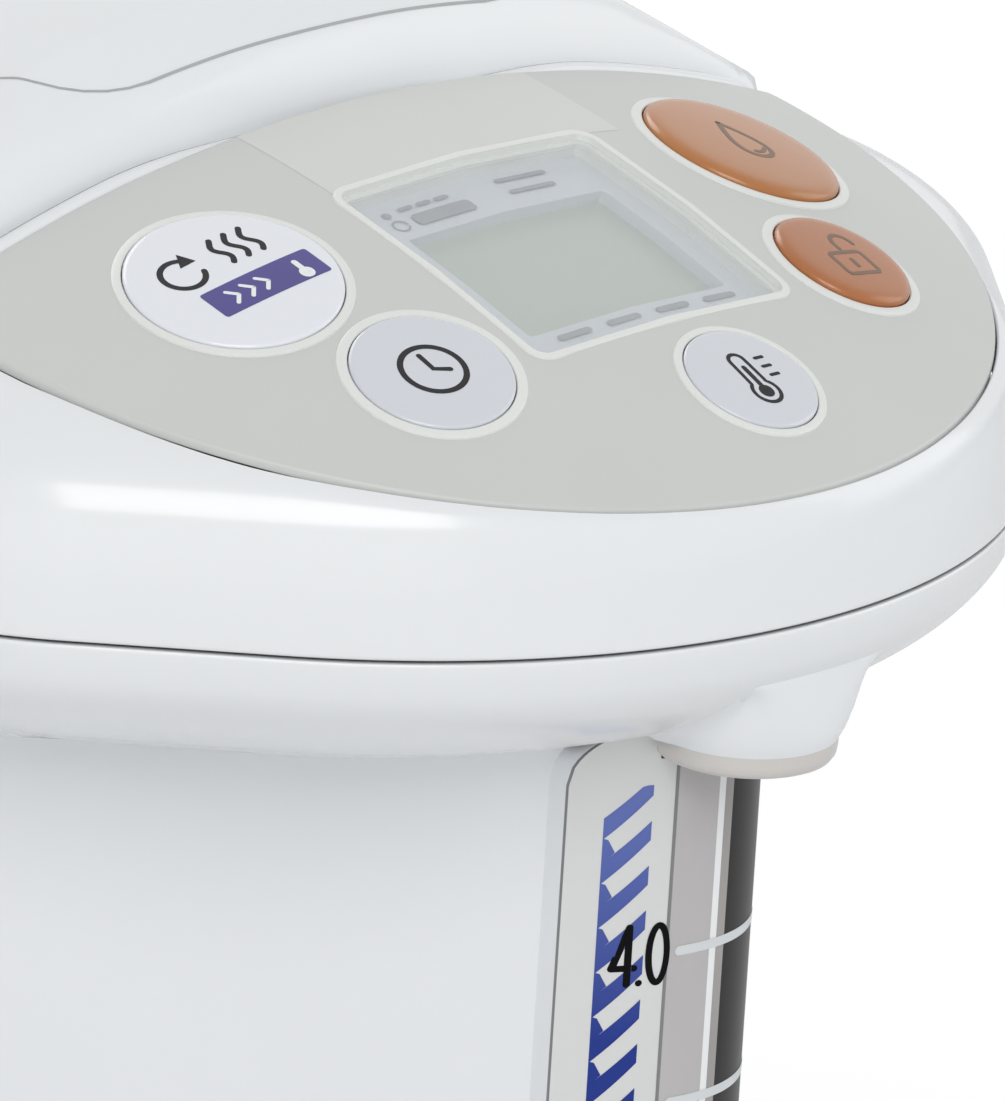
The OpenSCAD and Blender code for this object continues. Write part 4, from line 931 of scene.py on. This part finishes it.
class POT_OT_panel(bpy.types.Operator):
    """Satin film of the control panel, its lighter band and the light rings of the buttons"""

    bl_idname = "pot.panel"
    bl_label = "Control panel"

    def execute(self, context):
        rise = context.scene.pot_sizes.ring_height / MM
        make("panel_sheet", [panel_sheet()], "panel_film", node="control_panel")
        x, y = np.meshgrid(np.linspace(-23.6, 31, 40), np.linspace(-80.4, -61.95, 16))
        band = patch(np.stack([x, y, dome_z(x, y) + 0.03], -1), away=DOME_CENTRE)
        make("panel_band", [band], "panel_band")
        rings = []
        for bx, by, cap, ring in BUTTONS.values():
            low = cap + 0.12
            run = [(low, -2.4), (low, rise - 0.15), (low + 0.12, rise), (ring - 0.35, rise),
                   (ring - 0.12, rise - 0.12), (ring, -0.05)]
            rings.append(dome_ring((bx, by), run))
        make("button_rings", rings, "ring")
        return {"FINISHED"}


class POT_OT_display(bpy.types.Operator):
    """Display: light frame, recess, bezel plate, liquid crystal, clear cover and faint marks"""

    bl_idname = "pot.display"
    bl_label = "Display"

    def execute(self, context):
        size = context.scene.pot_sizes
        wide, deep, rise = size.frame_width / MM, size.recess / MM, size.ring_height / MM
        spot = (0, WINDOW_Y)
        away = under_dome(spot)

        def closed(rows):
            return [patch(np.array(rows), wrap_columns=True, away=away)]

        rows = []
        for grow, h in [(wide, -0.1), (wide - 0.15, rise - 0.1), (wide - 0.4, rise), (0.25, rise),
                        (0.05, rise - 0.12), (0, rise - 0.4), (-0.05, -0.7), (-0.9, -0.85),
                        (-0.95, -deep - 0.5)]:
            loop = rounded(WINDOW_W + 2 * grow, WINDOW_L + 2 * grow, max(WINDOW_CORNER + grow, 0.6))
            rows.append(on_dome(spot, loop[:, 0], loop[:, 1], h))
        make("display_frame_ring", closed(rows), "ring")
        outer = rounded(WINDOW_W - 1.6, WINDOW_L - 1.6, 1.4)
        glass = rounded(38, 24.4, 0.8) + [0, -1.8]
        rows = [on_dome(spot, *(outer * (1 - s) + glass * s).T, -deep)
                for s in (0, 0.35, 0.7, 0.985)]
        rows += [on_dome(spot, *glass.T, -deep - d) for d in (0.12, 1.9)]
        make("display_bezel_plate", closed(rows), "display_bezel", node="display_frame")
        crystal = slab(rounded(39, 25.4, 0.5) + [0, -1.8], -deep - 3.6, -deep - 1.8, 0.1, spot)
        make("liquid_crystal", [crystal], "display_grey", node="display_glass")
        cover = slab(rounded(WINDOW_W - 0.4, WINDOW_L - 0.4, 2.0), -1.3, -0.5, 0.15, spot)
        make("display_cover", [cover], "clear_plastic", node="display_window")
        lift = laid(lambda a, b: on_dome(spot, a, b, -deep + 0.04), away)

        def dash(left, right, b, width):
            return ribbon([(left, b), (right, b)], width, lift)

        marks = [filled(rounded(11, 2.6, 0.8) + [-9, 13.6], lift), dot(-17.4, 16.2, 0.7, lift)]
        marks += [dash(-14.5 + 3.4 * k, -12.6 + 3.4 * k, 16.6, 0.8) for k in range(3)]
        marks += [dash(4.5, 13.5 - k, 17.0 - 3 * k, 0.9) for k in range(2)]
        marks.append(ribbon(arc(-17.3, 13.4, 1.2, 1.2, 0, 330), 0.35, lift))
        marks += [dash(-15 + 9.4 * k, -9.8 + 9.4 * k, -15.9, 1.1) for k in range(4)]
        make("display_marks", marks, "faint_ink")
        return {"FINISHED"}


def cap_profile(radius, rise, soft):
    """Height of a button cap by its distance from the middle: a low crown, a rounded edge."""
    return np.array([(0, rise), (radius * 0.5, rise - 0.01), (radius - 3 * soft, rise - 0.06),
                     (radius - 1.6 * soft, rise - 0.2 * soft),
                     (radius - 0.8 * soft, rise - 0.45 * soft),
                     (radius - 0.25 * soft, rise - 0.85 * soft),
                     (radius, rise - 1.5 * soft), (radius, -2.6)])


def cap_run(name):
    """Profile of a button's cap; the orange caps take their height from the settings."""
    _, rise, soft = CAPS[name]
    return cap_profile(BUTTONS[name][2], rise or bpy.context.scene.pot_sizes.cap_rise / MM, soft)


def cap_lift(name, more=0.03):
    """A lift that lays flat marks on a button's cap, just above its crown."""
    place, run = BUTTONS[name][:2], cap_run(name)

    def rise(a, b):
        return on_dome(place, a, b, np.interp(np.hypot(a, b), run[:-1, 0], run[:-1, 1]) + more)

    return laid(rise, under_dome(place))


class POT_OT_buttons(bpy.types.Operator):
    """The five button caps, two of them orange and raised"""

    bl_idname = "pot.buttons"
    bl_label = "Buttons"

    def execute(self, context):
        for name, (kind, _, _) in CAPS.items():
            cap = dome_ring(BUTTONS[name][:2], smooth(cap_run(name), 2))
            make(name + "_cap", [cap], kind, name, name + "_button")
        return {"FINISHED"}


class POT_OT_marks(bpy.types.Operator):
    """Plain pictograms on the button caps: arrow, waves, clock, thermometer, drop and padlock"""

    bl_idname = "pot.marks"
    bl_label = "Button marks"

    def execute(self, context):
        lift = cap_lift("reboil")
        signs = [ribbon(arc(-5.2, 4.2, 3.0, 3.0, 60, 340, 40), 0.85, lift),
                 filled([(-1.75, 5.5), (-2.9, 8.1), (-4.5, 5.4)], lift)]
        wave = np.linspace(0, 1, 20)
        for k in range(3):
            line = np.stack([2.2 + 2.6 * k + 0.6 * np.sin(wave * 7), 2.4 + 5.4 * wave], -1)
            signs.append(ribbon(line, 0.85, lift))
        make("reboil_mark", signs, "ink", "reboil")
        field = filled(rounded(18.6, 5.6, 0.5) + [2.6, -3.3], lift)
        make("reboil_field", [field], "indigo", "reboil")
        above = cap_lift("reboil", 0.05)
        pale = []
        for x in (-3.4, -0.8, 1.8):
            tip = (x + 1.2, -3.3)
            pale += [ribbon([(x, -4.6), tip], 0.6, above), ribbon([tip, (x, -2.0)], 0.6, above)]
        pale += [ribbon([(8.6, -4.6), (8.6, -2.2)], 0.9, above), dot(8.6, -4.7, 1.1, above)]
        make("reboil_chevrons", pale, "shine", "reboil")
        lift = cap_lift("timer")
        clock = [ribbon(arc(0, 0, 4.4, 4.4, 0, 352.5, 48), 0.85, lift, closed=True),
                 ribbon([(0, 2.9), (0, 0), (2.0, -1.1)], 0.8, lift)]
        make("timer_mark", clock, "ink", "timer")
        lift = cap_lift("temp")
        outline = np.concatenate([arc(0, 3.2, 1.25, 1.25, 0, 180, 12),
                                  arc(0, -2.9, 2.1, 2.1, 130, 410, 30)])
        bulb = [ribbon(outline, 0.6, lift, closed=True), dot(0, -2.9, 1.15, lift),
                ribbon([(0, -2.6), (0, 1.8)], 0.8, lift)]
        bulb += [ribbon([(3.1, 2.9 - 1.7 * k), (4.5, 2.9 - 1.7 * k)], 0.55, lift) for k in range(3)]
        make("temp_mark", bulb, "ink", "temp")
        lift = cap_lift("dispense")
        t = full_turn(48)
        drop = np.stack([3.9 * np.sin(t) * np.sin(t / 2) ** 1.4, 4.8 * np.cos(t) + 0.6], -1)
        drop = [ribbon(drop, 0.85, lift, closed=True),
                ribbon(arc(0, -0.6, 2.2, 2.3, 250, 320), 0.7, lift)]
        make("dispense_mark", drop, "brown_ink", "dispense")
        lift = cap_lift("unlock")
        shackle = np.concatenate([arc(1.9, 2.3, 1.9, 2.1, 190, 0, 20)[::-1], [(0.0, 1.4)]])[::-1]
        lock = [ribbon(rounded(6.4, 4.6, 0.7) + [0, -1.7], 0.7, lift, closed=True),
                ribbon(shackle, 0.7, lift), ribbon([(0, -1.1), (0, -2.4)], 0.8, lift)]
        make("unlock_mark", lock, "brown_ink", "unlock")
        return {"FINISHED"}


# ---- level gauge ----
def gauge_y(x):
    """Front of the bulged gauge: a wide circle left of its middle line, a tight one right of it."""
    wide = GAUGE_Y - np.sqrt(GAUGE_R**2 - x**2)
    tight = GAUGE_Y - GAUGE_R + GAUGE_TIGHT - np.sqrt(np.maximum(GAUGE_TIGHT**2 - x**2, 0))
    return np.where(x < 0, wide, tight)


def gauge_corner(x):
    """What a rounded corner takes off the gauge plate's height, from the circle's equation."""
    corner = np.maximum(np.where(x < 0, -x - GAUGE_LEFT, x - GAUGE_RIGHT) + PLATE_CORNER, 0)
    return PLATE_CORNER - np.sqrt(np.maximum(PLATE_CORNER**2 - corner**2, 0))


def gauge_top(x):
    """Upper end of the gauge plate: level under the spout ring, higher and rounded beside it."""
    return np.where(np.abs(x) < DIP_HALF, DIP_HIGH, PLATE_HIGH - gauge_corner(x))


def gauge_low(x):
    """Lower end of the gauge plate, rounded at the corners."""
    return PLATE_LOW + gauge_corner(x)


def upright(x, y, z):
    """A patch over x, y and z of one shape or of shapes that spread to one."""
    return patch(np.stack(np.broadcast_arrays(x, y, z), -1), away=(0, GAUGE_Y, 140))


def gauge_strip(x, out=0.0):
    """Part of the gauge's front between two distances from its middle line."""
    z = gauge_low(x) + (gauge_top(x) - gauge_low(x)) * np.linspace(0, 1, 13)[:, None]
    return upright(x, gauge_y(x) - out, z)


def on_gauge(out):
    """A lift that lays flat marks on the gauge's front, by place across it and height."""
    return laid(lambda x, z: np.stack([x, gauge_y(x) - out, z], -1), (0, GAUGE_Y, 140))


DIGITS = {
    "4": [[(0.7, 0.0), (0.7, 1.0)], [(0.7, 1.0), (0.0, 0.28)], [(0.0, 0.28), (1.0, 0.28)]],
    "3": [arc(0.45, 0.75, 0.45, 0.25, 150, -80, 20), arc(0.45, 0.27, 0.5, 0.27, 80, -150, 20)],
    "2": [arc(0.5, 0.7, 0.48, 0.3, 165, -35, 20), [(0.89, 0.53), (0.05, 0.0)],
          [(0.05, 0.0), (1.0, 0.0)]],
    "1": [[(0.25, 0.8), (0.6, 1.0)], [(0.6, 1.0), (0.6, 0.0)]],
    "0": [arc(0.5, 0.5, 0.5, 0.5, 0, 352.5, 40)],
}


def gauge_walls(part, near, far):
    """Walls behind the plate's ends and its left edge, between two depths behind its front."""
    share = np.linspace(near, far, 3)[:, None]
    walls = [upright(side, gauge_y(side) + share, end(side))
             for side in part for end in (gauge_top, gauge_low)]
    left = gauge_y(np.array(-GAUGE_LEFT)) + share
    return walls + [upright(-GAUGE_LEFT, left, np.linspace(PLATE_LOW + 8, PLATE_HIGH - 8, 3))]


class POT_OT_gauge(bpy.types.Operator):
    """Level gauge: plate, clear slot, painted highlight and reflections, channel behind it, blue
    stripes, ticks and plain numbers
    """

    bl_idname = "pot.gauge"
    bl_label = "Level gauge"

    def execute(self, context):
        size = context.scene.pot_sizes
        dip = DIP_HALF + np.array([-0.0001, 0.0001])
        left = np.unique(np.concatenate([np.linspace(-GAUGE_LEFT, -8, 30), -dip]))
        right = np.linspace(DARK_REFLECTION_RIGHT, GAUGE_RIGHT, 16)
        plate = gauge_strip(left)
        make("gauge_plate_print", [plate], "plate", node="gauge_plate")
        # The plate's edge walls and a strip along the slot's left edge are painted dark grey:
        # painted shade.
        edge = gauge_walls((left, right), 0.0, 0.5)
        edge.append(gauge_strip(np.array([-8.25, -8.0, -7.75]), 0.03))
        make("gauge_plate_edge", edge, "plate_edge")
        make("gauge_surround", gauge_walls((left, right), 0.5, 5.5), "white_metal")
        # Bands across the window's front: the silver lens, a painted highlight, a grey painted
        # reflection, a dark painted reflection, and a grey painted reflection at its right edge.
        for name, low, high, kind, node in (
            ("gauge_lens", -8, -0.95, "silver_lens", "gauge_window"),
            ("gauge_shine", -0.95, 0.25, "shine", None),
            ("gauge_haze", 0.25, 1.9, "smoke_edge", None),
            ("gauge_smoke", 1.9, DARK_REFLECTION_RIGHT, "smoke", None),
            ("gauge_edge", DARK_REFLECTION_RIGHT, GAUGE_RIGHT, "smoke_edge", None),
        ):
            x = np.linspace(low, high, 20)
            if low < DIP_HALF < high:
                x = np.unique(np.concatenate([x, dip]))
            make(name, [gauge_strip(x)], kind, node=node)
        path = smooth([(-17.4, -127.5), (-16.5, -117), (-14, -114.4), (11, -114.4), (13, -116.5),
                       (13.6, -122)], 3)
        x = path[:, 0] * np.array([0.1, 1, 1, 0.1])[:, None]
        z = np.array([37.2, 37.2, 249.9, 249.9])[:, None]
        channel = patch(np.stack(np.broadcast_arrays(x, path[:, 1], z), -1), away=(0, -60, 140))
        make("gauge_channel", [channel], "channel", node="gauge_backing")
        lift = on_gauge(0.04)
        pitch = size.stripe_pitch / MM
        run = np.linspace(0, 1, 9)
        x = STRIPE_X + STRIPE_W * run
        stripes = []
        for k in range(int(190 / pitch)):
            low = STRIPE_TOP - 1.2 - pitch * (k + 1)
            under = low + STRIPE_RISE * run
            z = np.minimum([under, under + STRIPE_H * (1 - 0.1 * run)], STRIPE_TOP)
            stripes.append(patch(lift(np.stack([x, x]), z), away=lift.away))
            if low + pitch < 246:
                spine = [(STRIPE_X, low + 2.9), (STRIPE_X + 1.4, low + 4.5),
                         (STRIPE_X + 0.6, low + pitch), (STRIPE_X, low + pitch + 0.2)]
                stripes.append(filled(spine, lift))
        make("gauge_stripes", stripes, "blue")
        ticks, numbers = [], []
        lift = on_gauge(0.06)
        x = np.linspace(-6.1, 14.2, 24)
        for k in range(9):
            z = TICK_TOP - size.tick_pitch / MM * k
            ticks.append(ribbon(np.stack([x, np.full(24, z)], -1), 1.35, lift))
            if k % 2 == 0 and k < 8:
                for figure, where, width in ((str(4 - k // 2), -15.0, 2.7), ("0", -10.5, 2.5)):
                    for line in DIGITS[figure]:
                        line = np.asarray(line) * [width, 8.0] + [where, z - 4.0]
                        numbers.append(ribbon(line, 0.9, lift, closed=figure == "0"))
                numbers.append(dot(-11.6, z - 3.9, 0.45, lift))
        make("gauge_ticks", ticks, "tick")
        make("gauge_numbers", numbers, "pitch")
        return {"FINISHED"}


# ---- lid, lever, vent and handle ----
def lid_brow(x, y):
    """Highest the lid may be near its front: the dome at the front edge plus a climb behind it."""
    climb = np.interp(y - LID_FRONT, [0, 0.4, 1.2, 2.5, 5, 13, 28, 46, 60, 80],
                      [-2.4, -1.2, 1.5, 4.5, 7.5, 12.9, 16.0, 17.5, 24, 45])
    middle = dome_z(np.clip(x, -90, 90), LID_FRONT) + climb
    shoulder = 313.1 - 0.562 * (np.abs(x) - 84.5) + 0.178 * (y + 31.8)
    return soft_min(middle, shoulder + np.interp(y, [-25, 0, 40, 80], [0, 3, 12, 30]), 2.0)


def lid_shell():
    """The lid's skin: columns run up its side, over slope and crown and into the lever's pocket."""
    centre = np.array([0.0, -10.0])
    way = circle(full_turn(560, -math.pi))
    side = smooth(LID_SIDE, 2)
    lengths = np.array([
        soft_min(ray(HEAD, LEDGE + inset, centre, way),
                 to_front(way, centre, LID_FRONT + setback), 2.5)
        for _, inset, setback in side
    ])
    heights = np.broadcast_to(SEAM_Z + side[:, :1], lengths.shape)
    stop = ray(POCKET, 0, centre, way)
    lengths, heights = cut_at(lengths, heights, stop + 0.6)
    top, last = heights[-1], lengths[-1]
    rows = [(lengths[0] - 4, top * 0 + SEAM_Z + 14.0)]
    for k in range(len(lengths) - 1):
        parts = 4 if side[k, 0] > 56 else 1
        rows += [(lengths[k] + (lengths[k + 1] - lengths[k]) * s / parts,
                  heights[k] + (heights[k + 1] - heights[k]) * s / parts) for s in range(parts)]
    rows += [(last + (stop + 0.6 - last) * s, top) for s in np.linspace(0, 1, 12)]
    rows += [(stop + 0.2, top - 0.12), (stop, top - 0.55)]
    rows += [(long, top * 0 + POCKET_Z + up) for long, up in (
        (stop, 0.8), (stop - 0.6, 0.1), (stop * 0.5, 0), (stop * 0, 0))]
    lengths, heights = (np.array([row[k] for row in rows]) for k in (0, 1))
    points = columns(centre, way, lengths, heights)
    x, y, z = np.moveaxis(points, -1, 0)
    points[..., 2] = np.where(z > 290, soft_min(z, lid_brow(x, y), 1.0), z)
    x, y, z = np.moveaxis(centres(points), -1, 0)
    keep = ~((np.hypot(x - VENT[0], y - VENT[1]) < 15.8) & (z > 320))
    return patch(points, wrap_columns=True, keep=keep, away=(0, 0, 290))


def lid_height(x, y):
    """Height of the lid's top: the side profile or the front one, whichever is lower."""
    side = smooth(LID_SIDE, 2)
    a = np.interp(inset_of(HEAD, x, y) - LEDGE, side[:, 1], side[:, 0])
    b = np.interp(y - LID_FRONT, side[:, 2], side[:, 0])
    return soft_min(SEAM_Z + np.minimum(a, b), lid_brow(x, y), 1.0)


class POT_OT_lid(bpy.types.Operator):
    """Lid: its skin with the lever's pocket, hinge knuckle, opening lever and steam vent"""

    bl_idname = "pot.lid"
    bl_label = "Lid"

    def execute(self, context):
        knuckle = barrel((-30, *HINGE), (30, *HINGE), EYE_R)
        web = slab(rounded(60, 11, 1.0) + [0, 86.5], 301, 304.8, 0.6)
        shell = [lid_shell(), knuckle, web]
        make("lid_shell", shell, "white_plastic", "lid", "lid_cover", sharp=50)
        # A grey line painted round the lid's top along its seam: painted shade of the seam.
        lift = laid(lambda x, y: np.stack([x, y, lid_height(x, y) + 0.1], -1), (0, 0, 200))
        seam = ribbon(dense(rounded(112, 113.6, 24) + [0, 3.2], 1.5), 0.3, lift, closed=True)
        make("lid_seam", [seam], "seam_shade", "lid")
        plate = slab(rounded(44, 30, 3.0) + [0, -3], 335, 338, 0.8)
        lip = slab(rounded(30, 3.0, 1.4) + [0, -15.8], 333.6, 337.6, 0.6)
        hub = barrel((-22, 4, 336.5), (22, 4, 336.5), 2.9)
        make("lever_plate", [plate, lip, hub], "white_plastic", "lever", "lid_lever")
        rows = []
        for radius, up in ((14.6, -3.0), (14.6, 0.1), (14.8, 0.4), (15.3, 0.6), (16.6, 0.6),
                           (17.1, 0.45), (17.4, -0.3)):
            x, y = (VENT + radius * circle(full_turn(96))).T
            rows.append(np.stack([x, y, np.minimum(lid_height(x, y) + up, TOP_Z)], -1))
        rim = patch(np.array(rows), wrap_columns=True, away=(*VENT, 300))
        make("vent_rim", [rim], "grey_cap", "lid")
        return {"FINISHED"}


class POT_OT_handle(bpy.types.Operator):
    """Carry handle: a rounded bar round the back, flat arms and round bosses at the pivots"""

    bl_idname = "pot.handle"
    bl_label = "Carry handle"

    def execute(self, context):
        limit = math.acos(ARM_X / BOW_R) - 0.05
        arm = np.linspace(PIVOT[0], 62, 12)
        path = smooth(np.concatenate([
            np.stack([np.full(12, ARM_X), arm], -1),
            BOW_R * circle(np.linspace(limit, math.pi - limit, 97)),
            np.stack([np.full(12, -ARM_X), arm[::-1]], -1),
        ]), 2)
        along = np.gradient(path, axis=0)
        along /= np.linalg.norm(along, axis=1, keepdims=True)
        side = np.stack([along[:, 1], -along[:, 0]], -1)
        half = 2.0 + 3.9 * eased(np.clip((path[:, 1] - 52) / 38, 0, 1))
        way = circle(full_turn(48))
        a, b = (np.sign(way) * np.sqrt(np.abs(way))).T
        flat = path[:, None] + side[:, None] * (a[None, :, None] * half[:, None, None])
        flat[..., 0] = np.clip(flat[..., 0], -WIDEST, WIDEST)
        tall = np.broadcast_to(PIVOT[1] + BAR_HALF * b, flat.shape[:2])
        pieces = [patch(np.concatenate([flat, tall[..., None]], -1), wrap_columns=True)]
        for low, high in ((-109.5, -105.5), (105.5, 109.5)):
            pieces.append(barrel((low, *PIVOT), (high, *PIVOT), 7))
        make("handle_bar", pieces, "white_plastic", "handle", "carry_handle")
        return {"FINISHED"}


class POT_OT_inside(bpy.types.Operator):
    """Finishes of the parts that keep the frame's own shape"""

    bl_idname = "pot.inside"
    bl_label = "Inner parts"

    def execute(self, context):
        look = finishes()
        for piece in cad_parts.values():
            for k, held in enumerate(piece.data.materials):
                name = held.name.split(".")[0]
                if name in look:
                    piece.data.materials[k] = look[name]
        return {"FINISHED"}


# ---- stage ----
def placed(right, up, back, where):
    """Matrix of an object from its three axes and its place."""
    return Matrix(np.vstack([np.column_stack([right, up, back, where]), [0, 0, 0, 1]]).tolist())


# Lamps: place, aim, size, power and tone, in metres and watts.
LAMPS = {
    "key": ((-1.5, -1.9, 2.3), (0, -0.05, 0.25), 1.6, 37, (1.0, 0.995, 0.985)),
    "low": ((-1.5, -1.4, 0.1), (0, 0, 0.25), 1.8, 4.5, (1.0, 1.0, 1.0)),
    "fill": ((2.3, -1.2, 1.2), (0, -0.05, 0.25), 1.8, 11, (0.97, 0.985, 1.0)),
    "back": ((0.6, 2.2, 1.8), (0, 0, 0.25), 1.5, 17, (1.0, 1.0, 1.0)),
}
# Camera: turn, tilt and roll in degrees, place in metres, lens length over sensor width.
CAMERA_TURNS = (47.36014, 18.65718, 3.53662)
CAMERA_PLACE = (-1.370491, -1.354414, 0.896012)
CAMERA_RATIO = 14800 / 1101


class POT_OT_stage(bpy.types.Operator):
    """Pale floor, soft lights and the camera"""

    bl_idname = "pot.stage"
    bl_label = "Stage"

    def execute(self, context):
        scene = context.scene
        mesh = bpy.data.meshes.new("floor")
        edge = 6.0
        corners = [(-edge, -edge, 0), (edge, -edge, 0), (edge, edge, 0), (-edge, edge, 0)]
        mesh.from_pydata(corners, [], [(0, 1, 2, 3)])
        floor = bpy.data.objects.new("floor", mesh)
        scene.collection.objects.link(floor)
        mesh.materials.append(pale_floor())
        for name, (where, aim, size, power, tone) in LAMPS.items():
            lamp = bpy.data.lights.new(name, "AREA")
            lamp.size, lamp.energy, lamp.color = size, power, tone
            light = bpy.data.objects.new(name, lamp)
            back = np.array(where) - np.array(aim)
            back /= np.linalg.norm(back)
            right = np.cross([0, 0, 1], back)
            right /= np.linalg.norm(right)
            light.matrix_world = placed(right, np.cross(back, right), back, where)
            scene.collection.objects.link(light)
        world = bpy.data.worlds.new("studio")
        world.use_nodes = True
        tree = world.node_tree
        plain = tree.nodes["Background"]
        plain.inputs["Color"].default_value = (0.97, 0.985, 1.0, 1)
        plain.inputs["Strength"].default_value = 0.5
        white = node(tree, "Background", {"Color": (1, 1, 1, 1), "Strength": 1.0})
        path = node(tree, "LightPath").outputs
        seen = combined(tree, "MAXIMUM", path["Is Camera Ray"], path["Is Glossy Ray"])
        seen = combined(tree, "MAXIMUM", seen, path["Is Transmission Ray"])
        mix = node(tree, "MixShader", links={"Fac": seen, 1: plain.outputs["Background"],
                                             2: white.outputs["Background"]})
        tree.links.new(mix.outputs["Shader"], tree.nodes["World Output"].inputs["Surface"])
        scene.world = world
        scene.view_settings.view_transform = "Standard"
        lens = bpy.data.cameras.new("camera")
        lens.lens, lens.sensor_width, lens.sensor_fit = 36 * CAMERA_RATIO, 36, "AUTO"
        lens.clip_end = 50
        camera = bpy.data.objects.new("camera", lens)
        turn, tilt, roll = (math.radians(v) for v in CAMERA_TURNS)
        right = np.array([math.cos(turn), -math.sin(turn), 0])
        ahead = np.array([math.sin(turn) * math.cos(tilt), math.cos(turn) * math.cos(tilt),
                          -math.sin(tilt)])
        up = np.cross(right, ahead)
        rolled = (right * math.cos(roll) + up * math.sin(roll),
                  -right * math.sin(roll) + up * math.cos(roll))
        camera.matrix_world = placed(*rolled, -ahead, CAMERA_PLACE)
        scene.collection.objects.link(camera)
        scene.camera = camera
        return {"FINISHED"}


STEPS = ("stage", "head", "rim", "body", "base", "panel", "display", "buttons", "marks", "gauge",
         "lid", "handle", "inside")


class POT_PT_steps(bpy.types.Panel):
    """Lists the pieces of the pot and what can be changed on them"""

    bl_label = "Thermo pot"
    bl_idname = "POT_PT_steps"
    bl_space_type = "VIEW_3D"
    bl_region_type = "UI"
    bl_category = "Thermo pot"

    def draw(self, context):
        for step in STEPS:
            self.layout.operator("pot." + step)
        for group in (context.scene.pot_sizes, context.scene.pot_colours):
            for name in group.bl_rna.properties.keys():
                if name not in ("rna_type", "name"):
                    self.layout.prop(group, name)


CLASSES = (PotSizes, PotColours, POT_OT_stage, POT_OT_head, POT_OT_rim, POT_OT_body, POT_OT_base,
           POT_OT_panel, POT_OT_display, POT_OT_buttons, POT_OT_marks, POT_OT_gauge, POT_OT_lid,
           POT_OT_handle, POT_OT_inside, POT_PT_steps)


def register():
    for made in CLASSES:
        bpy.utils.register_class(made)
    bpy.types.Scene.pot_sizes = bpy.props.PointerProperty(type=PotSizes)
    bpy.types.Scene.pot_colours = bpy.props.PointerProperty(type=PotColours)


def unregister():
    del bpy.types.Scene.pot_colours
    del bpy.types.Scene.pot_sizes
    for made in reversed(CLASSES):
        bpy.utils.unregister_class(made)


def main():
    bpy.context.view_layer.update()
    register()
    for step in STEPS:
        getattr(bpy.ops.pot, step)()


if __name__ == "__main__":
    main()
